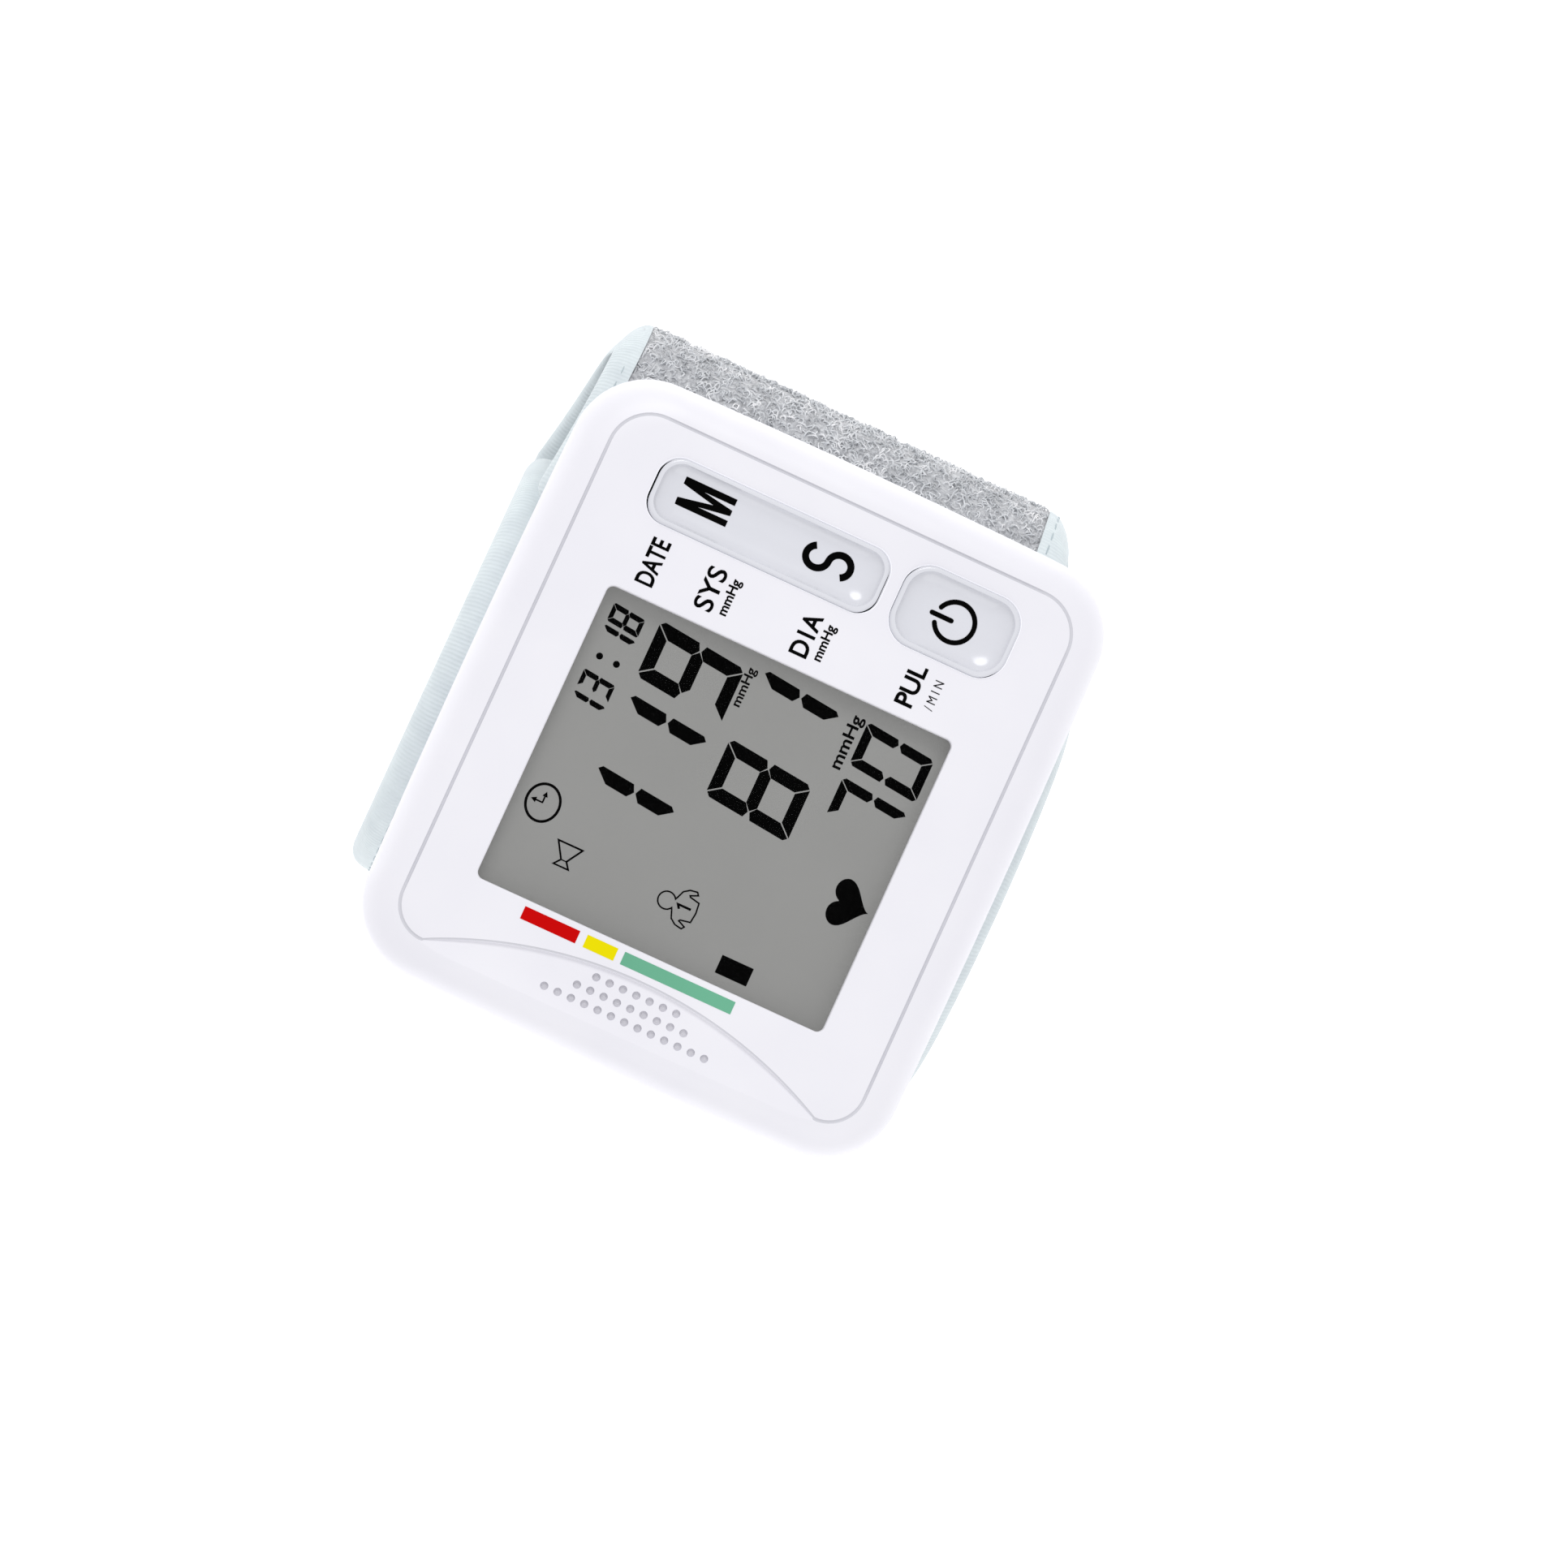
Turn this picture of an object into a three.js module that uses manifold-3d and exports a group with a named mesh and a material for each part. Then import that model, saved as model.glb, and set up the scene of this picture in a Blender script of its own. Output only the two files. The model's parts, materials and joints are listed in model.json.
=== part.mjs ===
// Wrist blood pressure monitor: a white case with a display and two keys, on a fabric cuff that
// goes once round the wrist and closes with an outer flap under the case.
// Millimetres. X runs to the right of the display, Y to its top, Z out of it. The origin is on
// the flat that the cuff stands on, below the middle of the case.
import * as THREE from 'three';
import { mergeVertices } from 'three/addons/utils/BufferGeometryUtils.js';
import Module from 'manifold-3d';

const wasm = await Module();
wasm.setup();

// Fits shared by every piece
const clearance = 0.3;
const overrun = 1;

// Case
const caseDepth = 27;
const caseCornerRadius = 9.5;
const sideBow = 0.3;
const rimWidth = 4.5;
const rimHeight = 5;
const hullReachX = 17;
const hullReachY = 7;
const hullHeight = 9;
const saddleRadius = 300;
const caseWall = 2;
const faceWall = 2.2;
const frontDepth = 12.2;
const lipWall = 0.9;
const lipHeight = 1.2;

// Face panel line and the crescent with the speaker holes
const panelMarginX = 4.55;
const panelMarginY = 4.5;
const panelCornerRadius = 5.2;
const panelLeftRadius = 4.54;
const lineWidth = 0.5;
const lineDepth = 0.35;
const crescentInset = 10.7;
const scoopDepth = 1.4;
const scoopWidth = 7.4;
const soundHoleDiameter = 1;
const soundHolePitch = 1.75;
const soundHoleCounts = [13, 9, 7];
const soundFirstInset = 5.6;
const soundCentreY = -0.3;
const speakerShiftShare = 0.66;

// Display, between the band that holds the speaker and the band that holds the keys
const speakerBand = 14.1;
const keyBand = 25.5;
const windowWidth = 38.4;
const windowLength = 45.4;
const windowRadius = 0.9;
const windowY = 0.4;
const windowSunk = 1.1;
const lensMargin = 1.5;
const lensThickness = 1;
const glassMargin = 1.6;
const glassThickness = 2;
const holderWall = 0.9;
const holderHeight = 4.3;
const holderRim = 1.6;
const zebraWidth = 2.4;

// Keys: each has a round lip, and inside it a bowl for the fingertip
const keyInset = 12.25;
const keyGap = 0.3;
const keySpacing = 2.1;
const memoryKeyWidth = 8.2;
const memoryKeyRadius = 2.7;
const memoryKeyInset = 11.55;
const powerKeyWidth = 10.1;
const powerKeyLength = 15;
const powerKeyRadius = 3.3;
const powerKeyInset = 10.85;
const keyRise = 0.45;
const lipWidth = 1;
const lipEdge = 0.35;
const bowlDepth = 1.05;
const bowlRun = 1.8;
const bowlRunShares = [0, 0.15, 0.45, 1];
const bowlDropShares = [0.24, 0.62, 0.86, 1];
const lipRoundShare = 0.35;
const keyCornerShare = 0.55;
const keyWall = 2.4;
const keySkirt = 2.2;
const keyFlange = 0.9;
const flangeThickness = 0.8;
const stemRadius = 1.6;
const memoryStemInset = 6;
const pinDiameter = 1.4;
const pinDepth = 3.6;
const pinFit = 0.2;
const lugThickness = 1.3;
const lugLength = 4;

// Main board and what it carries
const boardMargin = 0.9;
const boardThickness = 1.6;
const boardCornerRadius = 7;
const switchSize = 6;
const switchHeight = 2.9;
const plungerRadius = 1.7;
const plungerHeight = 1;
const switchTravelGap = 0.65;
const chipSize = 10;
const chipThickness = 1.4;
const chipInset = 10.75;
const sensorSize = 8;
const sensorThickness = 3.5;
const speakerWidth = 6.3;
const speakerLength = 20;
const speakerThickness = 3.4;
const speakerRadius = 2;
const seatRib = 0.8;

// Case screws and their columns
const screwInsetX = 8;
const screwInsetY = 6;
const screwDiameter = 2;
const screwLength = 9.5;
const screwHeadDiameter = 3.8;
const screwHeadHeight = 1.5;
const recessWidth = 0.7;
const recessDepth = 0.8;
const recessShare = 0.62;
const bossDiameter = 5.4;
const columnDiameter = 7;
const columnGap = 0.2;
const columnSeat = 3.2;
const screwFit = 0.2;

// Battery compartment
const cellDiameter = 10.5;
const cellLength = 44.5;
const cellTip = 0.9;
const cellTipDiameter = 3.8;
const cellGap = 0.4;
const cellInset = 5.2;
const cellFloorGap = 0.35;
const ribWall = 1.2;
const contactThickness = 0.5;
const contactWidth = 8;
const contactHeight = 7.6;
const contactLift = 1.1;
const leafWidthShare = 0.5;
const leafHeightShare = 0.35;
const doorMarginY = 0.95;
const doorMarginZ = 0.6;
const doorDepth = 6;
const doorRib = 1;
const doorRibDepth = 1.8;
const gripLength = 12;
const gripCount = 3;
const gripPitch = 1.8;
const gripRise = 0.4;
const gripWidth = 0.8;

// Pump, valve and air path
const motorDiameter = 12;
const motorLength = 15;
const motorFlat = 10;
const pumpHeadSize = 11.6;
const pumpHeadLength = 8.7;
const pumpCapShare = 0.8;
const pumpGap = 2.1;
const motorInset = 5.25;
const motorShaft = 1.5;
const valveDiameter = 8;
const valveLength = 14;
const valveGap = 3.2;
const restWidthShare = 0.8;
const restLengthShare = 0.6;
const spigotDiameter = 2.4;
const spigotLength = 3.4;
const hoseDiameter = 5;
const hoseBore = 2.9;
const nozzleY = 14;
const nozzleDiameter = 2.4;
const nozzleBore = 1.2;
const nozzleFlange = 7;
const sensorPitch = 5;

// Cuff
const cuffWidth = 76;
const wristWidth = 46.5;
const wristHeight = 37.5;
const fabricThickness = 1.2;
const curlerThickness = 0.8;
const bladderThickness = 1.6;
const liningThickness = 0.8;
const shoulderRadius = 20;
const layerInset = 7;
const bindingWidth = 4.5;
const bindingEdge = 1.4;
const tapeNipShare = 0.22;
const tapeShoulderShare = 0.3;
const tapeEdgeShare = 0.6;
const footDepth = 0.5;
const footHalf = 9;
const retainerGap = 2;
const retainerWidth = 19;
const retainerLength = 54;
const retainerRadius = 3.8;
const retainerPegDiameter = 4;
const retainerPegPitch = 38;
const portDiameter = 5.4;

// Flap of the cuff, from its hinge at the lower right to its tip under the case. Its tip is flat
// for as long as its binding is wide.
const hingeOut = 2.45;
const hingeHeight = 8;
const hingeSlope = THREE.MathUtils.degToRad(40);
const flapOverhang = 9.85;
const bulgeDrop = 16.6;
const bulgeRadius = 13;
const bulgeTurn = THREE.MathUtils.degToRad(60);
const bulgeCurl = 3.6;
const curlReach = 10;
const tipDrop = 0.9;
const patchThickness = 0.9;
const patchLength = 11;
const patchMargin = 6;
const handEdgeShares = [0.985, 0.9, 0.95];
const armEdgeShares = [0.985, 0.775, 0.86];

// The case is as wide as its two bands and the window between them, and as long as the cells,
// their contacts and a screw column at each end.
const caseWidth = speakerBand + windowWidth + keyBand;
const bayHalf = cellLength / 2 + cellTip + contactLift + contactThickness + clearance;
const caseLength = 2 * (bayHalf + columnGap + columnDiameter / 2 + screwInsetY);
const halfWidth = caseWidth / 2;
const halfLength = caseLength / 2;
const panelWidth = caseWidth - 2 * panelMarginX;
const panelLength = caseLength - 2 * panelMarginY;
const windowX = (speakerBand - keyBand) / 2;
const keyX = halfWidth - keyInset;
const memoryKeyLength = caseLength - memoryKeyInset - keySpacing - powerKeyLength - powerKeyInset;
const memoryKeyY = halfLength - memoryKeyInset - memoryKeyLength / 2;
const powerKeyY = powerKeyInset + powerKeyLength / 2 - halfLength;
const memoryStemPitch = memoryKeyLength - 2 * memoryStemInset;
const doorLength = cellLength + 2 * doorMarginY;
const doorHeight = cellDiameter + 2 * doorMarginZ;

// Levels that follow from the sizes above
const cuffThickness = fabricThickness + curlerThickness + bladderThickness + liningThickness + 3 * clearance;
const flapThickness = fabricThickness + liningThickness + clearance;
const loopHalfWidth = wristWidth / 2 + cuffThickness;
const loopHalfHeight = wristHeight / 2 + cuffThickness;
const loopCentreZ = loopHalfHeight - footDepth;
const crownZ = loopCentreZ + loopHalfHeight;
const underZ = crownZ + retainerGap;
const faceZ = underZ + caseDepth;
const partingZ = faceZ - frontDepth;
const ceilingZ = faceZ - faceWall;
const lensTop = faceZ - windowSunk - clearance;
const glassTop = lensTop - lensThickness - clearance;
const holderTop = glassTop - glassThickness - clearance;
const boardTop = holderTop - holderHeight - clearance;
const boardBottom = boardTop - boardThickness;
const saddleDrop = (halfWidth - hullReachX) ** 2 / (2 * saddleRadius);
const hullZ = underZ - saddleDrop;

// Turns a geometry into a solid whose shared corners are merged.
function solid(geometry) {
  const bare = new THREE.BufferGeometry();
  bare.setAttribute('position', geometry.getAttribute('position').clone());
  if (geometry.index) bare.setIndex(geometry.index.clone());
  const merged = mergeVertices(bare, 1e-4);
  return new wasm.Manifold(new wasm.Mesh({
    numProp: 3,
    vertProperties: new Float32Array(merged.getAttribute('position').array),
    triVerts: new Uint32Array(merged.index.array),
  }));
}

// Joins solids into one.
function join(...parts) {
  return parts.reduce((sum, part) => sum.add(part));
}

// A box from its bounds.
function block(x0, x1, y0, y1, z0, z1) {
  const box = new THREE.BoxGeometry(x1 - x0, y1 - y0, z1 - z0);
  return solid(box.translate((x0 + x1) / 2, (y0 + y1) / 2, (z0 + z1) / 2));
}

// A box round a middle, from its sizes.
function centredBlock(width, length, z0, z1, x, y) {
  return block(x - width / 2, x + width / 2, y - length / 2, y + length / 2, z0, z1);
}

// A flat plate with rounded corners.
function plate(width, length, radius, z0, z1, x, y, steps = 4) {
  const shape = new THREE.Shape();
  const right = width / 2 - radius;
  const top = length / 2 - radius;
  shape.absarc(right, top, radius, 0, Math.PI / 2);
  shape.absarc(-right, top, radius, Math.PI / 2, Math.PI);
  shape.absarc(-right, -top, radius, Math.PI, 1.5 * Math.PI);
  shape.absarc(right, -top, radius, 1.5 * Math.PI, 2 * Math.PI);
  return prism(shape, z0, z1, steps).translate([x, y, 0]);
}

// A shape in the XY plane, drawn up from z0 to z1.
function prism(shape, z0, z1, steps = 12) {
  const options = { depth: z1 - z0, bevelEnabled: false, curveSegments: steps };
  return solid(new THREE.ExtrudeGeometry(shape, options).translate(0, 0, z0));
}

// A round bar between two points.
function bar(diameter, from, to, sides = 12) {
  const start = new THREE.Vector3(...from);
  const end = new THREE.Vector3(...to);
  const way = end.clone().sub(start);
  const form = new THREE.CylinderGeometry(diameter / 2, diameter / 2, way.length(), sides);
  const turn = new THREE.Quaternion().setFromUnitVectors(new THREE.Vector3(0, 1, 0), way.clone().normalize());
  const middle = start.add(end).multiplyScalar(0.5);
  return solid(form.applyQuaternion(turn).translate(middle.x, middle.y, middle.z));
}

// An upright round rod.
function rod(diameter, z0, z1, x, y, sides = 12) {
  return bar(diameter, [x, y, z0], [x, y, z1], sides);
}

// A closed skin over rings of points that all have the same count, with a fan on each end.
function loft(rings) {
  const count = rings[0].length;
  const points = rings.flat();
  const faces = [];
  for (let ring = 0; ring + 1 < rings.length; ring += 1) {
    for (let i = 0; i < count; i += 1) {
      const a = ring * count + i;
      const b = ring * count + ((i + 1) % count);
      faces.push(a, b, b + count, a, b + count, a + count);
    }
  }
  for (const last of [false, true]) {
    const start = last ? (rings.length - 1) * count : 0;
    const middle = new THREE.Vector3();
    for (const point of last ? rings[rings.length - 1] : rings[0]) middle.add(point);
    points.push(middle.divideScalar(count));
    for (let i = 0; i < count; i += 1) {
      const a = start + i;
      const b = start + ((i + 1) % count);
      faces.push(...(last ? [a, b, points.length - 1] : [b, a, points.length - 1]));
    }
  }
  let volume = 0;
  for (let i = 0; i < faces.length; i += 3) {
    const [a, b, c] = [points[faces[i]], points[faces[i + 1]], points[faces[i + 2]]];
    volume += a.dot(b.clone().cross(c));
  }
  if (volume < 0) faces.reverse();
  const form = new THREE.BufferGeometry();
  form.setAttribute('position', new THREE.Float32BufferAttribute(points.flatMap((p) => [p.x, p.y, p.z]), 3));
  form.setIndex(faces);
  return solid(form);
}

// One ring of the case: four corner arcs joined by sides that bow out a little.
function caseRing(halfX, halfY, radius, z, cornerSteps = 5) {
  const ring = [];
  const bowShares = [0.25, 0.5, 0.75];
  const corners = [[1, 1], [-1, 1], [-1, -1], [1, -1]];
  corners.forEach(([signX, signY], corner) => {
    const start = corner * Math.PI / 2;
    for (let i = 0; i <= cornerSteps; i += 1) {
      const angle = start + (i / cornerSteps) * Math.PI / 2;
      const x = signX * (halfX - radius) + radius * Math.cos(angle);
      const y = signY * (halfY - radius) + radius * Math.sin(angle);
      ring.push(new THREE.Vector3(x, y, z));
    }
    const [nextX, nextY] = corners[(corner + 1) % 4];
    const out = start + Math.PI / 2;
    const from = ring[ring.length - 1];
    const to = new THREE.Vector3(
      nextX * (halfX - radius) + radius * Math.cos(out),
      nextY * (halfY - radius) + radius * Math.sin(out),
      z,
    );
    for (const share of bowShares) {
      const point = from.clone().lerp(to, share);
      const bow = sideBow * 4 * share * (1 - share);
      ring.push(point.add(new THREE.Vector3(bow * Math.cos(out), bow * Math.sin(out), 0)));
    }
  });
  return ring;
}

// The case as one rounded body, drawn in by a wall all round: rim above, hull below.
function caseBody(inset, topInset, bottomInset, steps) {
  const rings = [];
  const radius = caseCornerRadius - inset;
  for (let i = 0; i <= steps; i += 1) {
    const angle = (i / steps) * Math.PI / 2;
    const reach = 1 - Math.sin(angle);
    const halfX = halfWidth - inset - (hullReachX - inset) * reach;
    const halfY = halfLength - inset - (hullReachY - inset) * reach;
    const z = hullZ + bottomInset + (hullHeight - bottomInset) * (1 - Math.cos(angle));
    rings.push(caseRing(halfX, halfY, radius, z, steps));
  }
  const rim = Math.max(rimWidth - inset, clearance);
  for (let i = 0; i <= steps; i += 1) {
    const angle = (i / steps) * Math.PI / 2;
    const reach = rim * (1 - Math.cos(angle));
    const z = faceZ - topInset - (rimHeight - inset) * (1 - Math.sin(angle));
    rings.push(caseRing(halfWidth - inset - reach, halfLength - inset - reach, radius, z, steps));
  }
  return loft(rings);
}

// A quarter of the cuff's loop is a crown arc, a shoulder arc and a side arc that meet smoothly.
const crownTurn = THREE.MathUtils.degToRad(25);
const shoulderTurn = THREE.MathUtils.degToRad(45);
const sideTurn = Math.PI / 2 - crownTurn - shoulderTurn;
const crownEnd = crownTurn + shoulderTurn;
const sideShort = 1 - Math.sin(crownEnd);
const crownShort = 1 - Math.cos(crownTurn);

// The radii of the crown and side arcs that take a quarter over a given width, round the shoulder.
function quarterRadii(width) {
  const restX = width - shoulderRadius * (Math.sin(crownEnd) - Math.sin(crownTurn));
  const restZ = loopHalfHeight - shoulderRadius * (Math.cos(crownTurn) - Math.cos(crownEnd));
  const divisor = Math.sin(crownTurn) * Math.cos(crownEnd) - sideShort * crownShort;
  return {
    crown: (restX * Math.cos(crownEnd) - restZ * sideShort) / divisor,
    side: (restZ * Math.sin(crownTurn) - restX * crownShort) / divisor,
  };
}

// The quarters under the case meet at the crown. The one below leaves a flat to stand on.
const upper = quarterRadii(loopHalfWidth);
const lower = quarterRadii(loopHalfWidth - footHalf);

// Walks along arcs and straights in the XZ plane and returns stations on the cuff's outer
// surface, each with its inward normal and the run so far.
function walk(x, z, heading, legs) {
  const stations = [];
  let run = 0;
  const mark = () => {
    stations.push({ x, z, run, inX: -Math.sin(heading), inZ: Math.cos(heading) });
  };
  mark();
  for (const { length, radius, turn, steps } of legs) {
    for (let i = 0; i < steps; i += 1) {
      if (turn) {
        const next = heading + turn / steps;
        x += radius * (Math.sin(next) - Math.sin(heading));
        z += radius * (Math.cos(heading) - Math.cos(next));
        run += radius * turn / steps;
        heading = next;
      } else {
        x += length * Math.cos(heading) / steps;
        z += length * Math.sin(heading) / steps;
        run += length / steps;
      }
      mark();
    }
  }
  return stations;
}

// The fixed band: from its inner end at the lower right, up, over the crown, down the left and
// along the bottom to the hinge of the flap.
const hingeX = loopHalfWidth + hingeOut;
const footRadius = (hingeHeight + footDepth) / (1 - Math.cos(hingeSlope));
const footRun = hingeX - footRadius * Math.sin(hingeSlope);
const bandStations = walk(
  loopHalfWidth - upper.side * (1 - Math.cos(sideTurn)),
  loopCentreZ - upper.side * Math.sin(sideTurn),
  Math.PI / 2 - sideTurn,
  [
    { radius: upper.side, turn: 2 * sideTurn, steps: 4 },
    { radius: shoulderRadius, turn: shoulderTurn, steps: 5 },
    { radius: upper.crown, turn: 2 * crownTurn, steps: 6 },
    { radius: shoulderRadius, turn: shoulderTurn, steps: 5 },
    { radius: upper.side, turn: sideTurn, steps: 2 },
    { radius: lower.side, turn: sideTurn, steps: 2 },
    { radius: shoulderRadius, turn: shoulderTurn, steps: 5 },
    { radius: lower.crown, turn: crownTurn, steps: 3 },
    { length: footHalf + footRun, steps: 1 },
    { radius: footRadius, turn: hingeSlope, steps: 4 },
  ],
);

// The flap: straight from the hinge, round the bulge beside the case, and flat under the case.
const bulgeX = halfWidth + flapOverhang;
const bulgeHeight = crownZ - bulgeDrop;
const tipHeight = crownZ - tipDrop;
const acrossX = bulgeX - hingeX;
const acrossZ = bulgeHeight - hingeHeight;
const riseRadius = (acrossZ * Math.cos(hingeSlope) - acrossX * Math.sin(hingeSlope))
  / (Math.cos(hingeSlope) ** 2 - (1 - Math.sin(hingeSlope)) * Math.sin(hingeSlope));
const riseRun = (acrossX - riseRadius * (1 - Math.sin(hingeSlope))) / Math.cos(hingeSlope);
const overTurn = Math.PI / 2 - bulgeTurn;
const overRadius = (tipHeight - bulgeHeight - bulgeRadius * Math.sin(bulgeTurn)) / (1 - Math.cos(overTurn));
const flapStations = walk(
  hingeX + clearance * Math.cos(hingeSlope),
  hingeHeight + clearance * Math.sin(hingeSlope),
  hingeSlope,
  [
    { length: riseRun - clearance, steps: 2 },
    { radius: riseRadius, turn: Math.PI / 2 - hingeSlope, steps: 6 },
    { radius: bulgeRadius, turn: bulgeTurn, steps: 6 },
    { radius: overRadius, turn: overTurn, steps: 4 },
    { length: bindingWidth, steps: 1 },
  ],
);

// One layer of the cuff, swept along stations. Its section is a list of [y, depth] corners.
function sweep(stations, section) {
  const total = stations[stations.length - 1].run;
  return loft(stations.map((station) => section(station.run / total).map(([y, depth]) => new THREE.Vector3(
    station.x + station.inX * depth,
    y,
    station.z + station.inZ * depth,
  ))));
}

// The share of the cuff's half width at a place along the flap, on a smooth curve through the
// shares at its hinge, middle and tip.
function alongRun([hinge, middle, tip], run) {
  return hinge * (1 - run) * (1 - 2 * run) + middle * 4 * run * (1 - run) + tip * run * (2 * run - 1);
}

// Stations between two runs, to end a layer short of the binding.
function between(stations, from, to) {
  const kept = stations.filter(({ run }) => run > from && run < to);
  return [at(stations, from), ...kept, at(stations, to)];
}

// The station at a given run.
function at(stations, run) {
  const next = Math.max(1, stations.findIndex((station) => station.run >= run));
  const a = stations[next - 1];
  const b = stations[next];
  const t = (run - a.run) / (b.run - a.run);
  const mix = (from, to) => from + (to - from) * t;
  return { x: mix(a.x, b.x), z: mix(a.z, b.z), run, inX: mix(a.inX, b.inX), inZ: mix(a.inZ, b.inZ) };
}

// A four-sided section for a layer between two depths and two edges.
function layerSection(hand, arm, outer, inner) {
  return [[arm, outer], [hand, outer], [hand, inner], [arm, inner]];
}

// The section of the folded edge tape: full thickness where it holds the layers, thin and round
// at its edge, which curls towards the wrist. side is 1 on the hand's side and -1 on the arm's.
function tapeSection(edge, side, thickness, curl = 0) {
  const inner = edge - side * bindingWidth;
  const shoulder = edge - side * bindingEdge;
  const nip = thickness * tapeNipShare;
  const low = nip * tapeShoulderShare;
  const round = nip * (1 + tapeEdgeShare);
  const lean = curl * (1 - bindingEdge / bindingWidth) ** 2;
  return [[inner, 0], [shoulder, low + lean], [edge, round + curl], [edge, thickness - round + curl],
    [shoulder, thickness - low + lean], [inner, thickness]];
}

const bandEnd = bandStations[bandStations.length - 1].run;
const bandHalf = cuffWidth / 2;
const bandInner = bandHalf - bindingWidth - clearance;
const curlerDepth = fabricThickness + clearance;
const bladderDepth = curlerDepth + curlerThickness + clearance;
const liningDepth = bladderDepth + bladderThickness + clearance;
const layerStations = between(bandStations, bindingWidth + clearance, bandEnd);
const innerStations = between(bandStations, bindingWidth + 2 * clearance, bandEnd - layerInset);
const nozzleHole = rod(portDiameter + 2 * clearance, crownZ - bladderDepth, crownZ + overrun, 0, nozzleY);
const ground = block(-caseWidth, caseWidth, -caseLength, caseLength, -caseWidth, 0);

function bandLayer(stations, half, outer, thickness) {
  return sweep(stations, () => layerSection(half, -half, outer, outer + thickness)).subtract(ground);
}

function cuffBinding() {
  const sides = [1, -1].map((side) => {
    return sweep(bandStations, () => tapeSection(side * bandHalf, side, cuffThickness));
  });
  const endTape = sweep(between(bandStations, 0, bindingWidth), () => {
    const half = bandHalf - bindingEdge;
    return layerSection(half, -half, 0, cuffThickness);
  });
  return join(...sides, endTape).subtract(ground);
}

const flapEnd = flapStations[flapStations.length - 1].run;
const bulgeRun = riseRun - clearance + riseRadius * (Math.PI / 2 - hingeSlope);
const handEdge = (run) => bandHalf * alongRun(handEdgeShares, run);
const armEdge = (run) => -bandHalf * alongRun(armEdgeShares, run);

function flapLayer(from, to, margin, outer, thickness) {
  const cut = between(flapStations, from, to);
  return loft(cut.map((station) => {
    const run = station.run / flapEnd;
    const section = layerSection(handEdge(run) - margin, armEdge(run) + margin, outer, outer + thickness);
    return section.map(([y, depth]) => new THREE.Vector3(
      station.x + station.inX * depth,
      y,
      station.z + station.inZ * depth,
    ));
  }));
}

// How far the tape's edge curls in at a place along the flap: most at the bulge.
function tapeCurl(run) {
  return bulgeCurl * Math.exp(-(((run * flapEnd - bulgeRun) / curlReach) ** 2));
}

function flapBinding() {
  const hand = sweep(flapStations, (run) => tapeSection(handEdge(run), 1, flapThickness, tapeCurl(run)));
  const arm = sweep(flapStations, (run) => tapeSection(armEdge(run), -1, flapThickness, tapeCurl(run)));
  const tip = flapLayer(flapEnd - bindingWidth, flapEnd, bindingEdge, 0, flapThickness);
  return join(hand, arm, tip);
}

// The outline of the face panel. Its left side is the crescent's arc between two round corners:
// the arc bulges into the panel and meets those corners on the panel's left edge.
const arcTop = panelLength / 2 - panelLeftRadius;
const arcBulge = crescentInset - panelMarginX;
const crescentRadius = (arcTop ** 2 + arcBulge ** 2) / (2 * arcBulge);
const crescentX = -(halfWidth - crescentInset) - crescentRadius;

function panelOutline(grow) {
  const shape = new THREE.Shape();
  const radius = panelCornerRadius + grow;
  const right = panelWidth / 2 - panelCornerRadius;
  const top = panelLength / 2 - panelCornerRadius;
  const left = panelLeftRadius - panelWidth / 2;
  const arc = crescentRadius - grow;
  const arcAngle = Math.asin(arcTop / arc);
  shape.absarc(right, top, radius, 0, Math.PI / 2);
  shape.absarc(left, arcTop, panelLeftRadius + grow, Math.PI / 2, Math.PI);
  shape.absarc(crescentX, 0, arc, arcAngle, -arcAngle, true);
  shape.absarc(left, -arcTop, panelLeftRadius + grow, Math.PI, 1.5 * Math.PI);
  shape.absarc(right, -top, radius, 1.5 * Math.PI, 2 * Math.PI);
  return shape;
}

function panelLine() {
  const outer = prism(panelOutline(lineWidth / 2), faceZ - lineDepth, faceZ + overrun, 7);
  const inner = prism(panelOutline(-lineWidth / 2), faceZ - lineDepth - overrun, faceZ + 2 * overrun, 7);
  return outer.subtract(inner);
}

// The crescent is dished: a long cylinder along Y cuts it, kept to the inside of the arc.
function scoop() {
  const radius = (scoopWidth ** 2 + scoopDepth ** 2) / (2 * scoopDepth);
  const x = -(halfWidth - crescentInset);
  const z = faceZ - scoopDepth + radius;
  const dish = bar(2 * radius, [x, -halfLength, z], [x, halfLength, z], 56);
  const inside = rod(2 * crescentRadius, faceZ - faceWall, faceZ + radius, crescentX, 0, 96);
  return dish.intersect(inside);
}

function soundHoles() {
  const holes = [];
  soundHoleCounts.forEach((count, column) => {
    const x = -(halfWidth - soundFirstInset) + column * soundHolePitch;
    for (let i = 0; i < count; i += 1) {
      const y = soundCentreY + (i - (count - 1) / 2) * soundHolePitch;
      holes.push(rod(soundHoleDiameter, ceilingZ - overrun, faceZ + overrun, x, y, 7));
    }
  });
  return join(...holes);
}

const screwPlaces = [[1, 1], [-1, 1], [-1, -1], [1, -1]].map(([signX, signY]) => [
  signX * (halfWidth - screwInsetX),
  signY * (halfLength - screwInsetY),
]);
const columnTop = boardBottom - clearance;
const screwHeadTop = columnTop - columnSeat;
const bossBottom = boardTop + clearance;
const speakerX = -(halfWidth - soundFirstInset) + soundHolePitch * speakerShiftShare;
const speakerTop = ceilingZ - clearance;
const stemEnd = boardTop + switchHeight + plungerHeight + switchTravelGap;
const pinZ = faceZ - pinDepth;
const outerCase = caseBody(0, 0, 0, 6);
const innerCase = caseBody(caseWall, faceWall, caseWall, 3);
const saddle = bar(
  2 * saddleRadius,
  [0, -caseLength, underZ - saddleRadius],
  [0, caseLength, underZ - saddleRadius],
  400,
);
const farOut = caseWidth;

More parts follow.
